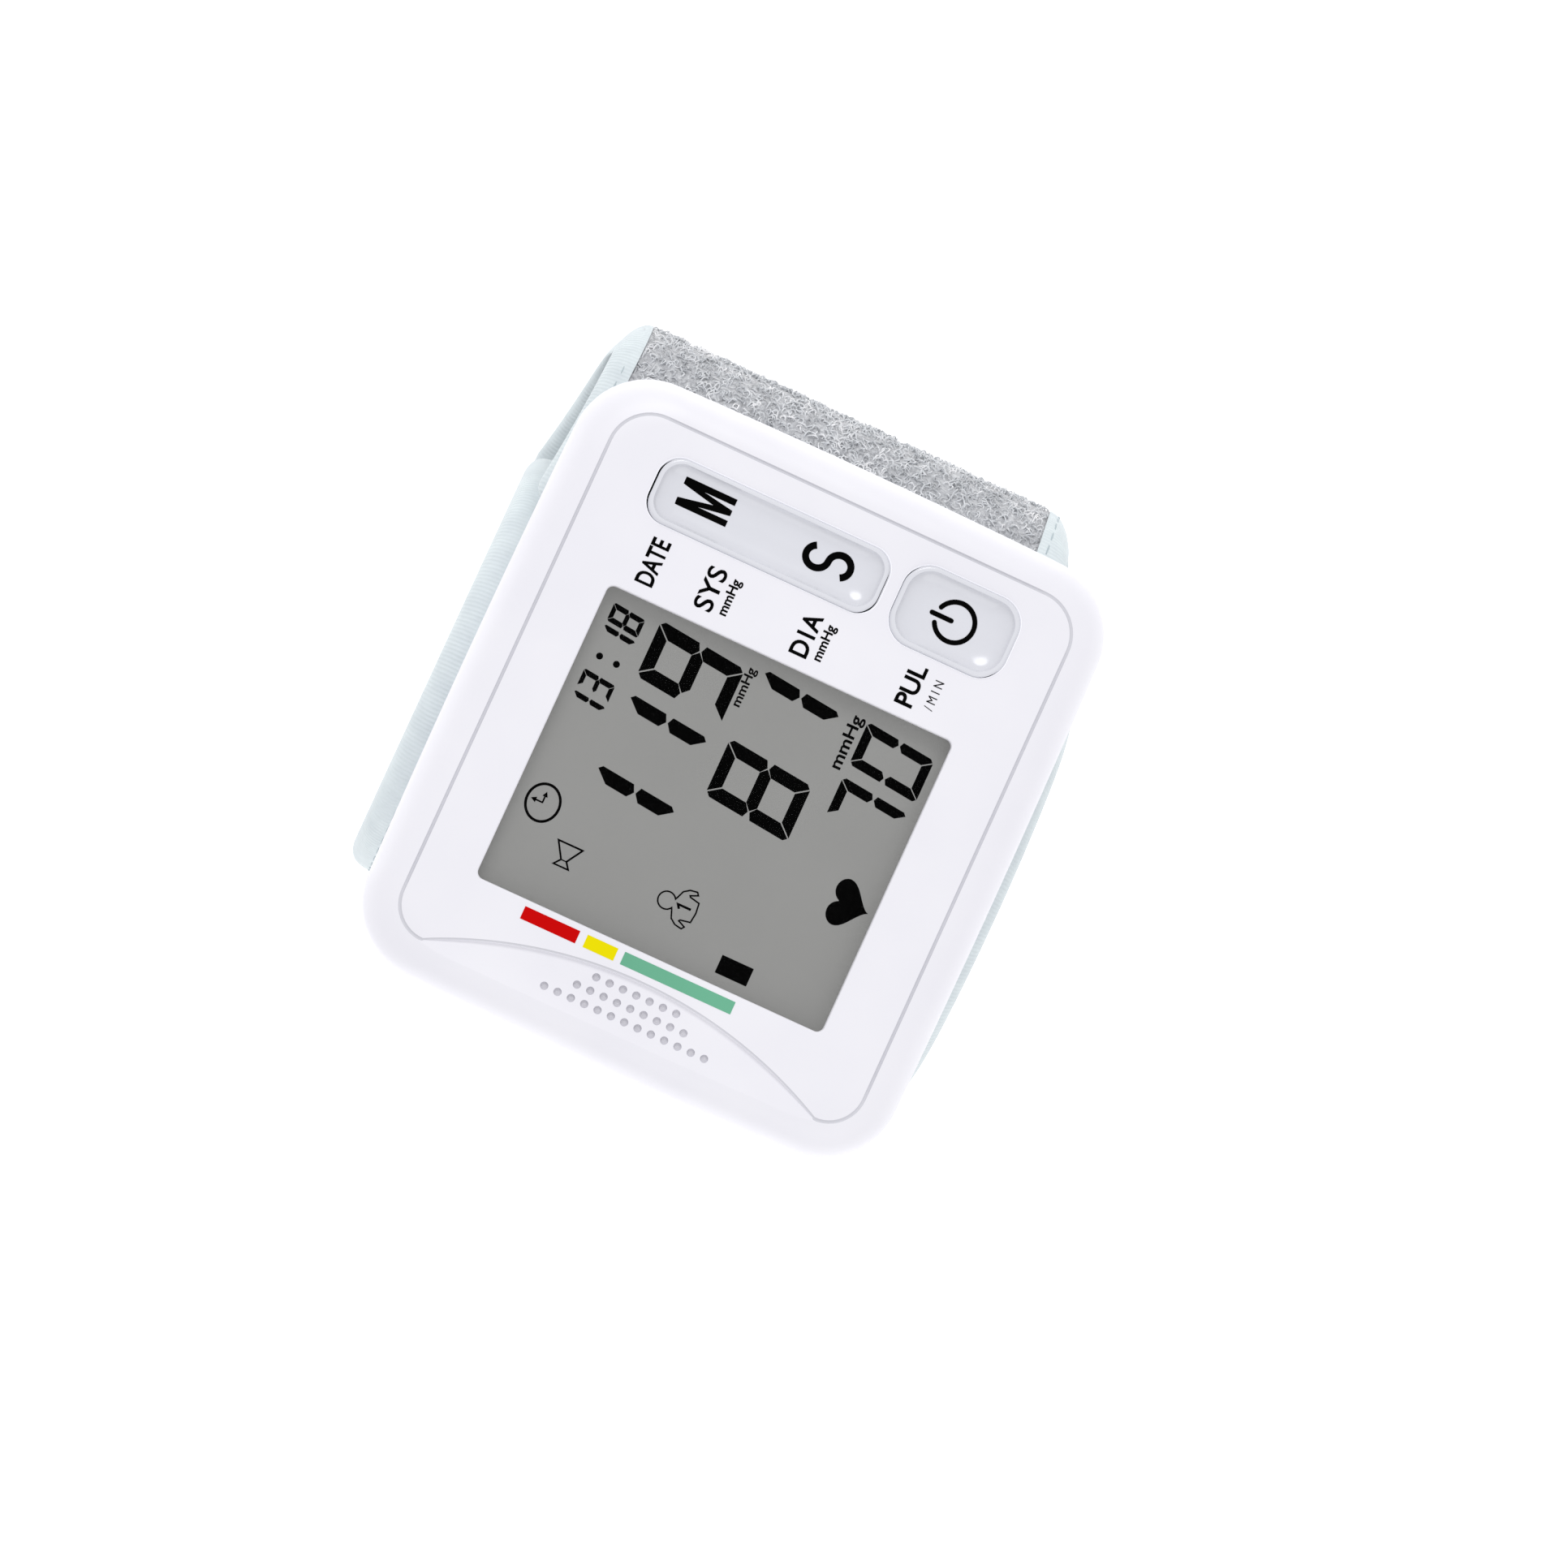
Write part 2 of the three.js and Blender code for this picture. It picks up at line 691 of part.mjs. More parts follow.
// A ring of a rounded rectangle round a key's middle.
function plateRing(width, length, radius, z, y, steps = 4) {
  const ring = [];
  [[1, 1], [-1, 1], [-1, -1], [1, -1]].forEach(([signX, signY], corner) => {
    for (let i = 0; i <= steps; i += 1) {
      const angle = (corner + i / steps) * Math.PI / 2;
      ring.push(new THREE.Vector3(
        keyX + signX * (width / 2 - radius) + radius * Math.cos(angle),
        y + signY * (length / 2 - radius) + radius * Math.sin(angle),
        z,
      ));
    }
  });
  return ring;
}

function keyOpening(width, length, radius, y) {
  return plate(
    width + 2 * keyGap,
    length + 2 * keyGap,
    radius + keyGap,
    ceilingZ - overrun,
    faceZ + overrun,
    keyX,
    y,
  );
}

function pivotLug(side) {
  const inner = memoryKeyWidth / 2 + keyGap + clearance / 3;
  const x = keyX + side * (inner + lugThickness / 2);
  return centredBlock(lugThickness, lugLength, pinZ - pinDiameter, ceilingZ + overrun / 2, x, memoryKeyY);
}

function frontShell() {
  const shellBottom = block(-farOut, farOut, -farOut, farOut, -farOut, partingZ + clearance / 2);
  const lensPocket = centredBlock(
    windowWidth + 2 * (lensMargin + clearance),
    windowLength + 2 * (lensMargin + clearance),
    ceilingZ - overrun,
    faceZ - windowSunk,
    windowX,
    windowY,
  );
  const bosses = screwPlaces.map(([x, y]) => rod(bossDiameter, bossBottom, ceilingZ + overrun, x, y));
  const pilots = screwPlaces.map(([x, y]) => {
    return rod(screwDiameter + 2 * screwFit, bossBottom - overrun, ceilingZ - overrun / 2, x, y, 12);
  });
  const seatWidth = speakerWidth + 2 * (clearance + seatRib);
  const seatLength = speakerLength + 2 * (clearance + seatRib);
  const seat = plate(seatWidth, seatLength, speakerRadius + seatRib, speakerTop - speakerThickness / 2,
    ceilingZ + overrun / 2, speakerX, soundCentreY);
  const seatHollow = plate(speakerWidth + 2 * clearance, speakerLength + 2 * clearance, speakerRadius,
    speakerTop - speakerThickness, ceilingZ, speakerX, soundCentreY);
  const window = plate(windowWidth, windowLength, windowRadius, ceilingZ - overrun, faceZ + overrun,
    windowX, windowY);
  return outerCase
    .subtract(innerCase)
    .add(join(...bosses))
    .add(seat.subtract(seatHollow))
    .add(pivotLug(1))
    .add(pivotLug(-1))
    .subtract(shellBottom)
    .subtract(join(...pilots))
    .subtract(lensPocket)
    .subtract(window)
    .subtract(panelLine())
    .subtract(scoop())
    .subtract(soundHoles())
    .subtract(keyOpening(memoryKeyWidth, memoryKeyLength, memoryKeyRadius, memoryKeyY))
    .subtract(keyOpening(powerKeyWidth, powerKeyLength, powerKeyRadius, powerKeyY))
    .subtract(pinBore());
}

function pinBore() {
  const reach = memoryKeyWidth / 2 + keyGap + lugThickness + overrun;
  const bore = pinDiameter + 2 * pinFit;
  return bar(bore, [keyX - reach, memoryKeyY, pinZ], [keyX + reach, memoryKeyY, pinZ], 14);
}

// The battery cells stand side by side behind the door, along Y.
const cellPitch = cellDiameter + cellGap;
const outerCellX = -(halfWidth - cellInset - cellDiameter / 2);
const cellXs = [outerCellX, outerCellX + cellPitch];
const hullRise = hullHeight * (1 - Math.sqrt(1 - hullShare(outerCellX) ** 2));
const cellBottom = hullZ + caseWall + cellFloorGap + hullRise;
const cellZ = cellBottom + cellDiameter / 2;
const bayRight = cellXs[1] + cellDiameter / 2 + clearance;
const doorTop = cellZ + doorHeight / 2;
const doorBottom = cellZ - doorHeight / 2;

// How far into the hull's rounding a place along X lies, from 0 at its start to 1 at the side.
function hullShare(x) {
  return Math.max(Math.abs(x) - (halfWidth - hullReachX), 0) / hullReachX;
}

function doorSpace(grow) {
  return block(-farOut, -(halfWidth - doorDepth), -doorLength / 2 - grow, doorLength / 2 + grow,
    doorBottom - grow, doorTop + grow);
}

// A block under a round part, before the part's bed is cut from it.
function restBlock(diameter, length, x, y) {
  return centredBlock(diameter * restWidthShare, length * restLengthShare, hullZ, pumpZ, x, y);
}

function rearShell() {
  const above = block(-farOut, farOut, -farOut, farOut, partingZ - clearance / 2, 2 * farOut);
  const lip = loft([
    caseRing(halfWidth - caseWall - clearance, halfLength - caseWall - clearance, caseCornerRadius - caseWall,
      partingZ - 2 * lipHeight),
    caseRing(halfWidth - caseWall - clearance, halfLength - caseWall - clearance, caseCornerRadius - caseWall,
      partingZ + lipHeight),
  ]);
  const lipHollow = loft([
    caseRing(halfWidth - caseWall - clearance - lipWall, halfLength - caseWall - clearance - lipWall,
      caseCornerRadius - caseWall - lipWall, partingZ - 3 * lipHeight),
    caseRing(halfWidth - caseWall - clearance - lipWall, halfLength - caseWall - clearance - lipWall,
      caseCornerRadius - caseWall - lipWall, partingZ + 2 * lipHeight),
  ]);
  const bridge = loft([
    caseRing(halfWidth - caseWall / 2, halfLength - caseWall / 2, caseCornerRadius - caseWall / 2,
      partingZ - 2 * lipHeight),
    caseRing(halfWidth - caseWall / 2, halfLength - caseWall / 2, caseCornerRadius - caseWall / 2,
      partingZ - lipHeight),
  ]);
  const wallTop = doorTop + clearance;
  const bayFloor = hullZ;
  const bay = join(
    block(bayRight, bayRight + ribWall, -bayHalf - ribWall, bayHalf + ribWall, bayFloor, wallTop),
    block(-halfWidth, bayRight + ribWall, bayHalf, bayHalf + ribWall, bayFloor, wallTop),
    block(-halfWidth, bayRight + ribWall, -bayHalf - ribWall, -bayHalf, bayFloor, wallTop),
  );
  const columns = screwPlaces.map(([x, y]) => rod(columnDiameter, hullZ, columnTop, x, y));
  const counterbores = screwPlaces.map(([x, y]) => rod(screwHeadDiameter + 2 * clearance, hullZ - overrun,
    screwHeadTop, x, y));
  const screwHoles = screwPlaces.map(([x, y]) => rod(screwDiameter + 2 * screwFit, screwHeadTop - overrun,
    columnTop + overrun, x, y, 12));
  const motorRest = restBlock(motorDiameter, motorLength, pumpX, pumpY + motorLength / 2);
  const valveRest = restBlock(valveDiameter, valveLength, valveX, valveY);
  const motorBed = bar(motorDiameter + 2 * clearance, [pumpX, -farOut, pumpZ], [pumpX, farOut, pumpZ], 24);
  const valveBed = bar(valveDiameter + 2 * clearance, [valveX, -farOut, pumpZ], [valveX, farOut, pumpZ], 20);
  const rests = motorRest.subtract(motorBed).add(valveRest.subtract(valveBed));
  const below = hullZ - overrun;
  const inFloor = underZ + caseWall + overrun;
  const pegHoles = [1, -1].map((side) => {
    return rod(retainerPegDiameter + 2 * clearance, below, inFloor, 0, side * retainerPegPitch / 2);
  });
  const nozzlePass = rod(nozzleDiameter + 4 * clearance, below, inFloor, 0, nozzleY);
  const inside = join(bay, ...columns, rests).intersect(caseBody(caseWall / 2, faceWall, caseWall / 2, 3));
  return outerCase
    .subtract(innerCase)
    .subtract(above)
    .add(inside)
    .add(join(lip, bridge).subtract(lipHollow))
    .subtract(join(...counterbores, ...screwHoles))
    .subtract(join(...pegHoles, nozzlePass))
    .subtract(doorSpace(clearance))
    .subtract(saddle);
}

function batteryDoor() {
  const ribX = -(halfWidth - caseWall);
  const ribHalf = doorLength / 2 - doorRib;
  const ribTop = doorTop - doorRib / 2;
  const rib = block(ribX - caseWall / 2, ribX + doorRibDepth, -ribHalf, ribHalf, ribTop - doorRib, ribTop);
  const grips = [];
  for (let i = 0; i < gripCount; i += 1) {
    const z = cellZ + (i - (gripCount - 1) / 2) * gripPitch;
    const x = -halfWidth - sideBow;
    grips.push(block(x - gripRise, x + caseWall / 2, -gripLength / 2, gripLength / 2, z - gripWidth / 2,
      z + gripWidth / 2));
  }
  return outerCase.subtract(innerCase).intersect(doorSpace(0)).add(rib).add(join(...grips));
}

function cell(x, turned) {
  const tipSide = turned ? -1 : 1;
  const body = bar(cellDiameter, [x, -cellLength / 2, cellZ], [x, cellLength / 2, cellZ], 28);
  const tip = bar(cellTipDiameter, [x, 0, cellZ], [x, tipSide * (cellLength / 2 + cellTip), cellZ], 16);
  return body.add(tip);
}

// A stamped contact: a plate against the bay's end wall with a leaf that bows to the cell.
function contact(xs, side) {
  const wallY = side * (bayHalf - clearance / 2);
  const faceY = wallY - side * contactThickness;
  const left = Math.min(...xs) - contactWidth / 2;
  const right = Math.max(...xs) + contactWidth / 2;
  const low = cellZ - contactHeight / 2;
  const back = block(left, right, Math.min(wallY, faceY), Math.max(wallY, faceY), low, low + contactHeight);
  const leaves = xs.map((x) => {
    const reach = contactLift - clearance;
    const width = contactWidth * leafWidthShare;
    const foot = contactHeight * leafHeightShare;
    const leaf = new THREE.Shape();
    leaf.moveTo(-foot, 0);
    leaf.quadraticCurveTo(0, 2 * reach, foot, 0);
    leaf.lineTo(foot - contactThickness, -contactThickness / 2);
    leaf.quadraticCurveTo(0, 2 * (reach - contactThickness), contactThickness - foot, -contactThickness / 2);
    const form = new THREE.ExtrudeGeometry(leaf, { depth: width, bevelEnabled: false, curveSegments: 6 });
    form.translate(0, 0, -width / 2);
    form.applyMatrix4(new THREE.Matrix4().makeBasis(
      new THREE.Vector3(0, 0, 1),
      new THREE.Vector3(0, -side, 0),
      new THREE.Vector3(side, 0, 0),
    ));
    return solid(form.translate(x, faceY, cellZ));
  });
  return join(back, ...leaves);
}

// The pump lies beside the battery bay, and the valve and the sensor beside the pump.
const pumpX = bayRight + ribWall + pumpGap + pumpHeadSize / 2;
const pumpY = motorInset + caseWall - halfLength;
const pumpZ = underZ + caseWall + motorDiameter / 2 + clearance;
const valveX = pumpX + pumpHeadSize / 2 + valveGap + valveDiameter / 2;
const sensorX = valveX + sensorPitch;
const hoseY = pumpY + motorLength + pumpHeadLength + spigotLength + hoseDiameter / 2 + clearance;
const valveY = hoseY - hoseDiameter / 2 - clearance - spigotLength - valveLength / 2;

function pumpMotor() {
  const can = bar(motorDiameter, [pumpX, pumpY, pumpZ], [pumpX, pumpY + motorLength, pumpZ], 28);
  const flats = centredBlock(motorFlat, 2 * motorLength, pumpZ - motorDiameter, pumpZ + motorDiameter, pumpX,
    pumpY + motorLength / 2);
  const hubEnd = pumpY - motorShaft / 2;
  const hub = bar(2 * motorShaft, [pumpX, hubEnd, pumpZ], [pumpX, pumpY + overrun, pumpZ], 16);
  return can.intersect(flats).add(hub);
}

function pumpHead() {
  const start = pumpY + motorLength + clearance;
  const half = pumpHeadSize / 2;
  const body = block(pumpX - half, pumpX + half, start, start + pumpHeadLength, pumpZ - half, pumpZ + half);
  const cap = bar(pumpHeadSize * pumpCapShare, [pumpX, start + pumpHeadLength - overrun, pumpZ],
    [pumpX, start + pumpHeadLength + clearance, pumpZ], 24);
  const spigot = bar(spigotDiameter, [pumpX, start + pumpHeadLength - overrun, pumpZ],
    [pumpX, hoseY - clearance, pumpZ], 14);
  return join(body, cap, spigot);
}

function releaseValve() {
  const half = valveLength / 2;
  const body = bar(valveDiameter, [valveX, valveY - half, pumpZ], [valveX, valveY + half, pumpZ], 24);
  const spigot = bar(spigotDiameter, [valveX, valveY, pumpZ], [valveX, hoseY - clearance, pumpZ], 14);
  return body.add(spigot);
}

function pressureSensor() {
  const top = boardBottom - clearance;
  const body = centredBlock(sensorSize, sensorSize, top - sensorThickness, top, sensorX, hoseY);
  return body.add(rod(spigotDiameter, pumpZ + hoseBore, top - sensorThickness + overrun, sensorX, hoseY, 14));
}

// The soft air manifold joins the pump, the valve, the sensor and the nozzle. Its ends slip over
// the spigots, so its bores run on past them.
function airManifold() {
  const sleeveEnd = hoseY - hoseDiameter / 2 - spigotLength + overrun;
  const sensorEnd = boardBottom - 2 * clearance - sensorThickness;
  const nozzleEnd = underZ + caseWall + 2 * overrun;
  const tree = (diameter, past) => join(
    bar(diameter, [pumpX - diameter / 2, hoseY, pumpZ], [sensorX + diameter / 2, hoseY, pumpZ]),
    bar(diameter, [pumpX, hoseY, pumpZ], [pumpX, sleeveEnd - past, pumpZ]),
    bar(diameter, [valveX, hoseY, pumpZ], [valveX, sleeveEnd - past, pumpZ]),
    rod(diameter, pumpZ, sensorEnd + past, sensorX, hoseY),
    bar(diameter, [0, hoseY, pumpZ], [0, nozzleY + diameter / 2, pumpZ]),
    rod(diameter, nozzleEnd - past, pumpZ, 0, nozzleY),
  );
  return tree(hoseDiameter, 0).subtract(tree(hoseBore, overrun));
}

// The nozzle sits in the floor of the rear shell and reaches down into the bladder's port.
function airNozzle() {
  const seat = underZ + caseWall + clearance;
  const flange = rod(nozzleFlange, seat, seat + flangeThickness, 0, nozzleY, 24);
  const stem = rod(nozzleDiameter, crownZ - fabricThickness, pumpZ - hoseBore, 0, nozzleY);
  const bore = rod(nozzleBore, crownZ - fabricThickness - overrun, pumpZ, 0, nozzleY, 12);
  return flange.add(stem).subtract(bore);
}

function windowLens() {
  return centredBlock(windowWidth + 2 * lensMargin, windowLength + 2 * lensMargin, lensTop - lensThickness,
    lensTop, windowX, windowY);
}

const glassWidth = windowWidth + 2 * glassMargin;
const glassLength = windowLength + 2 * glassMargin;

function displayHolder() {
  const wide = glassWidth + 2 * (clearance + holderWall);
  const long = glassLength + 2 * (clearance + holderWall);
  const top = holderTop + glassThickness / 2;
  const frame = centredBlock(wide, long, boardTop + clearance, top, windowX, windowY);
  const pocket = centredBlock(glassWidth + 2 * clearance, glassLength + 2 * clearance, holderTop, faceZ,
    windowX, windowY);
  const hollow = centredBlock(glassWidth - 2 * holderRim, glassLength - 4 * holderRim, boardTop, faceZ,
    windowX, windowY);
  const slot = zebraSpace(clearance, boardTop, faceZ);
  return frame.subtract(pocket).subtract(hollow).subtract(slot);
}

function zebraSpace(grow, z0, z1) {
  const y = windowY - glassLength / 2 + holderRim;
  return centredBlock(glassWidth - 4 * holderRim + 2 * grow, zebraWidth / 2 + 2 * grow, z0, z1, windowX, y);
}

function mainBoard() {
  const inset = caseWall + clearance + lipWall + boardMargin;
  const board = plate(caseWidth - 2 * inset, caseLength - 2 * inset, boardCornerRadius, boardBottom, boardTop,
    0, 0);
  const holes = screwPlaces.map(([x, y]) => rod(screwDiameter + 4 * screwFit, boardBottom - overrun,
    boardTop + overrun, x, y));
  return board.subtract(join(...holes));
}

// A key cap: an upright wall, a rounded lip and the bowl inside the lip.
function keyCap(width, length, radius, y, bottom) {
  const top = faceZ + keyRise;
  const level = (inset, z) => {
    return plateRing(width - 2 * inset, length - 2 * inset, radius - inset * keyCornerShare, z, y);
  };
  const round = lipEdge * lipRoundShare;
  const bowl = bowlRunShares.map((share, i) => {
    return level(lipWidth + bowlRun * share, top - bowlDepth * bowlDropShares[i]);
  });
  return loft([
    level(0, bottom),
    level(0, top - lipEdge),
    level(round, top - round),
    level(lipEdge, top),
    level(lipWidth - lipEdge, top),
    ...bowl,
  ]);
}

function memorySetKey() {
  const bottom = faceZ - faceWall - keySkirt;
  const stems = [1, -1].map((side) => rod(2 * stemRadius, stemEnd, faceZ - faceWall, keyX,
    memoryKeyY + side * memoryStemPitch / 2));
  const hollow = plate(memoryKeyWidth - keyWall, memoryKeyLength - keyWall, memoryKeyRadius - keyWall / 2,
    bottom - overrun, faceZ - faceWall, keyX, memoryKeyY);
  const hub = centredBlock(memoryKeyWidth - keyWall / 4, 2 * pinDiameter + keyWall / 4, pinZ - pinDiameter,
    faceZ - faceWall, keyX, memoryKeyY);
  return keyCap(memoryKeyWidth, memoryKeyLength, memoryKeyRadius, memoryKeyY, bottom)
    .subtract(hollow)
    .add(join(hub, ...stems))
    .subtract(pinBore());
}

function powerKey() {
  const flangeTop = ceilingZ - clearance;
  const flange = plate(powerKeyWidth + 2 * keyFlange, powerKeyLength + 2 * keyFlange,
    powerKeyRadius + keyFlange, flangeTop - flangeThickness, flangeTop, keyX, powerKeyY);
  const stem = rod(2 * stemRadius, stemEnd, flangeTop, keyX, powerKeyY);
  const cap = keyCap(powerKeyWidth, powerKeyLength, powerKeyRadius, powerKeyY, flangeTop - flangeThickness);
  return join(cap, flange, stem);
}

function tactSwitch(y) {
  const top = boardTop + switchHeight;
  const body = centredBlock(switchSize, switchSize, boardTop + clearance, top, keyX, y);
  return body.add(rod(2 * plungerRadius, boardTop + overrun, top + plungerHeight, keyX, y));
}

function caseScrew([x, y]) {
  const headBottom = screwHeadTop - clearance - screwHeadHeight;
  const head = rod(screwHeadDiameter, headBottom, screwHeadTop - clearance, x, y, 14);
  const shank = rod(screwDiameter, headBottom + recessDepth + clearance, screwHeadTop + screwLength, x, y, 8);
  const slots = [0, 1].map((turn) => {
    const long = screwHeadDiameter * recessShare;
    return centredBlock(turn ? long : recessWidth, turn ? recessWidth : long, headBottom - overrun,
      headBottom + recessDepth, x, y);
  });
  return head.add(shank).subtract(join(...slots));
}

// The retainer fills the gap between the crown of the cuff and the saddle of the case.
function cuffRetainer() {
  const slab = plate(retainerWidth, retainerLength, retainerRadius, crownZ - retainerGap, underZ + overrun,
    0, 0);
  const centreZ = crownZ - upper.crown;
  const crown = bar(2 * (upper.crown + clearance), [0, -farOut, centreZ], [0, farOut, centreZ], 160);
  const above = outerCase.subtract(saddle);
  const lowered = above.translate([0, 0, -clearance]);
  const pegs = [1, -1].map((side) => rod(retainerPegDiameter, crownZ + retainerGap / 2, underZ + caseWall, 0,
    side * retainerPegPitch / 2));
  return slab
    .subtract(crown)
    .subtract(lowered)
    .subtract(block(-farOut, farOut, -farOut, farOut, underZ - clearance, farOut * 2))
    .add(join(...pegs))
    .subtract(rod(portDiameter + 2 * clearance, crownZ - overrun, underZ + overrun, 0, nozzleY));
}

function cuffBladder() {
  const bag = bandLayer(innerStations, bandHalf - layerInset, bladderDepth, bladderThickness);
  const root = crownZ - bladderDepth - bladderThickness / 2;
  const port = rod(portDiameter, root, crownZ + clearance, 0, nozzleY, 20);
  const bore = rod(nozzleDiameter + 2 * screwFit, crownZ - curlerDepth - curlerThickness, crownZ + overrun, 0,
    nozzleY, 16);
  return bag.add(port).subtract(bore);
}

function hookPatch() {
  const from = flapEnd - bindingWidth - clearance - patchLength;
  return flapLayer(from, flapEnd - clearance, patchMargin, flapThickness + clearance, patchThickness);
}

// Materials, with the colours that the photograph shows
function material(color, roughness, metalness = 0) {
  return new THREE.MeshStandardMaterial({ color, roughness, metalness });
}

const whiteShell = material('#f3f3f8', 0.35);
const clearLens = material('#dfe3e4', 0.08);
const displayGrey = material('#969692', 0.3);
const keyGrey = material('#dcdee5', 0.2);
const boardGreen = material('#2f6b45', 0.5);
const blackPlastic = material('#26272a', 0.5);
const steel = material('#b9bcc0', 0.3, 1);
const nickel = material('#cfd0d2', 0.25, 1);
const cellJacket = material('#5c6066', 0.35, 0.2);
const rubber = material('#3a3a3c', 0.8);
const silicone = material('#e6e2da', 0.6);
const greyLoop = material('#b4b6ba', 0.95);
const paleTape = material('#dfe9ea', 0.85);
const liningCloth = material('#c6cbd0', 0.9);
const curlerPlastic = material('#e9e9e6', 0.45);
const bladderFilm = material('#cdd6dc', 0.4);
const hookNylon = material('#d9dbdf', 0.85);

const monitor = new THREE.Group();

// Adds one named piece to the model.
function add(name, body, finish) {
  const mesh = body.getMesh();
  const form = new THREE.BufferGeometry();
  form.setAttribute('position', new THREE.BufferAttribute(new Float32Array(mesh.vertProperties), 3));
  form.setIndex(new THREE.BufferAttribute(new Uint32Array(mesh.triVerts), 1));
  form.computeVertexNormals();
  const piece = new THREE.Mesh(form, finish);
  piece.name = name;
  monitor.add(piece);
}

add('front_shell', frontShell(), whiteShell);
add('rear_shell', rearShell(), whiteShell);
add('battery_door', batteryDoor(), whiteShell);
add('window_lens', windowLens(), clearLens);
const glassLevels = [glassTop - glassThickness, glassTop];
add('lcd_panel', centredBlock(glassWidth, glassLength, ...glassLevels, windowX, windowY), displayGrey);
add('lcd_holder', displayHolder(), curlerPlastic);
add('zebra_strip', zebraSpace(0, boardTop + clearance, holderTop), rubber);
add('main_board', mainBoard(), boardGreen);
const chipTop = boardBottom - clearance;
add('controller_chip', centredBlock(chipSize, chipSize, chipTop - chipThickness, chipTop, valveX,
  halfLength - chipInset), blackPlastic);
add('memory_set_key', memorySetKey(), keyGrey);
const pinHalf = memoryKeyWidth / 2 + keyGap + lugThickness;
const pinEnds = [[keyX - pinHalf, memoryKeyY, pinZ], [keyX + pinHalf, memoryKeyY, pinZ]];
add('key_pivot_pin', bar(pinDiameter, ...pinEnds, 14), steel);
add('power_key', powerKey(), keyGrey);
add('memory_switch', tactSwitch(memoryKeyY + memoryStemPitch / 2), blackPlastic);
add('set_switch', tactSwitch(memoryKeyY - memoryStemPitch / 2), blackPlastic);
add('power_switch', tactSwitch(powerKeyY), blackPlastic);
add('speaker', plate(speakerWidth, speakerLength, speakerRadius, speakerTop - speakerThickness, speakerTop,
  speakerX, soundCentreY), blackPlastic);
add('pump_motor', pumpMotor(), steel);
add('pump_head', pumpHead(), blackPlastic);
add('release_valve', releaseValve(), nickel);
add('pressure_sensor', pressureSensor(), blackPlastic);
add('air_manifold', airManifold(), silicone);
add('air_nozzle', airNozzle(), curlerPlastic);
add('battery_1', cell(cellXs[0], false), cellJacket);
add('battery_2', cell(cellXs[1], true), cellJacket);
add('positive_contact', contact([cellXs[0]], 1), nickel);
add('negative_contact', contact([cellXs[1]], 1), nickel);
add('bridge_contact', contact(cellXs, -1), nickel);
screwPlaces.forEach((place, i) => add(`case_screw_${i + 1}`, caseScrew(place), steel));
add('cuff_retainer', cuffRetainer(), curlerPlastic);
add('cuff_outer_fabric', bandLayer(layerStations, bandInner, 0, fabricThickness)
  .subtract(nozzleHole), greyLoop);
add('cuff_curler', bandLayer(innerStations, bandHalf - layerInset, curlerDepth, curlerThickness)
  .subtract(nozzleHole), curlerPlastic);
add('cuff_bladder', cuffBladder(), bladderFilm);
add('cuff_lining', bandLayer(layerStations, bandInner, liningDepth, liningThickness), liningCloth);
add('cuff_binding', cuffBinding(), paleTape);
const flapMargin = bindingWidth + clearance;
add('flap_outer_fabric', flapLayer(0, flapEnd - flapMargin, flapMargin, 0, fabricThickness), greyLoop);
add('flap_lining', flapLayer(0, flapEnd - flapMargin, flapMargin, fabricThickness + clearance,
  liningThickness), liningCloth);
add('flap_binding', flapBinding(), paleTape);
add('hook_patch', hookPatch(), hookNylon);

export default monitor;
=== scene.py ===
# Wrist blood pressure monitor: a white case with a display and two keys, on a cuff of loop fabric
# that closes with an outer flap. Lengths are in millimetres up to the last step of each piece.
import json
import random
from math import asin, atan2, cos, exp, pi, radians, sin, sqrt

import bmesh
import bpy
from mathutils import Matrix, Vector, noise


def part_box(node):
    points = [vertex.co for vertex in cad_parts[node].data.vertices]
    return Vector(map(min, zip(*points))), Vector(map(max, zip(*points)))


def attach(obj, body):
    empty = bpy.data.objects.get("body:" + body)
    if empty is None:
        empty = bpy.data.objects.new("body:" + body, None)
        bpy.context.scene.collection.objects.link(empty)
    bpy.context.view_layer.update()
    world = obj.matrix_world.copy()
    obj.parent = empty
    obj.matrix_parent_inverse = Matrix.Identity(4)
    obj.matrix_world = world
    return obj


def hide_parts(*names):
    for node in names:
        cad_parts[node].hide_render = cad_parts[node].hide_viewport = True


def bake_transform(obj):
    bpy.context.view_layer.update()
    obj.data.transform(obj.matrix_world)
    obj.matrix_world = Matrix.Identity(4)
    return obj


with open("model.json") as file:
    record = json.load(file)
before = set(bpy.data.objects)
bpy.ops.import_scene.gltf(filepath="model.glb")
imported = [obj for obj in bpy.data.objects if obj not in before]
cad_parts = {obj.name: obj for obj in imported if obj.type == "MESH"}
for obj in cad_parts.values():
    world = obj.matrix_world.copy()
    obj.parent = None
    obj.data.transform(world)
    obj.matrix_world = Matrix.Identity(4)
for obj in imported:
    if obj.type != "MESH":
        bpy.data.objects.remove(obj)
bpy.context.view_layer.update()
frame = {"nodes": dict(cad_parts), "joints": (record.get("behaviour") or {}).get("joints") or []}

mm = 0.001


def span(node):
    """The lowest and highest corner of a CAD node, in millimetres."""
    low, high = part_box(node)
    return low / mm, high / mm


def middle_and_half(low, high, less=0):
    """The middle of a rectangle between two corners, and its half sides, made less by a margin."""
    return [(low[i] + high[i]) / 2 for i in (0, 1)], [(high[i] - low[i]) / 2 - less for i in (0, 1)]


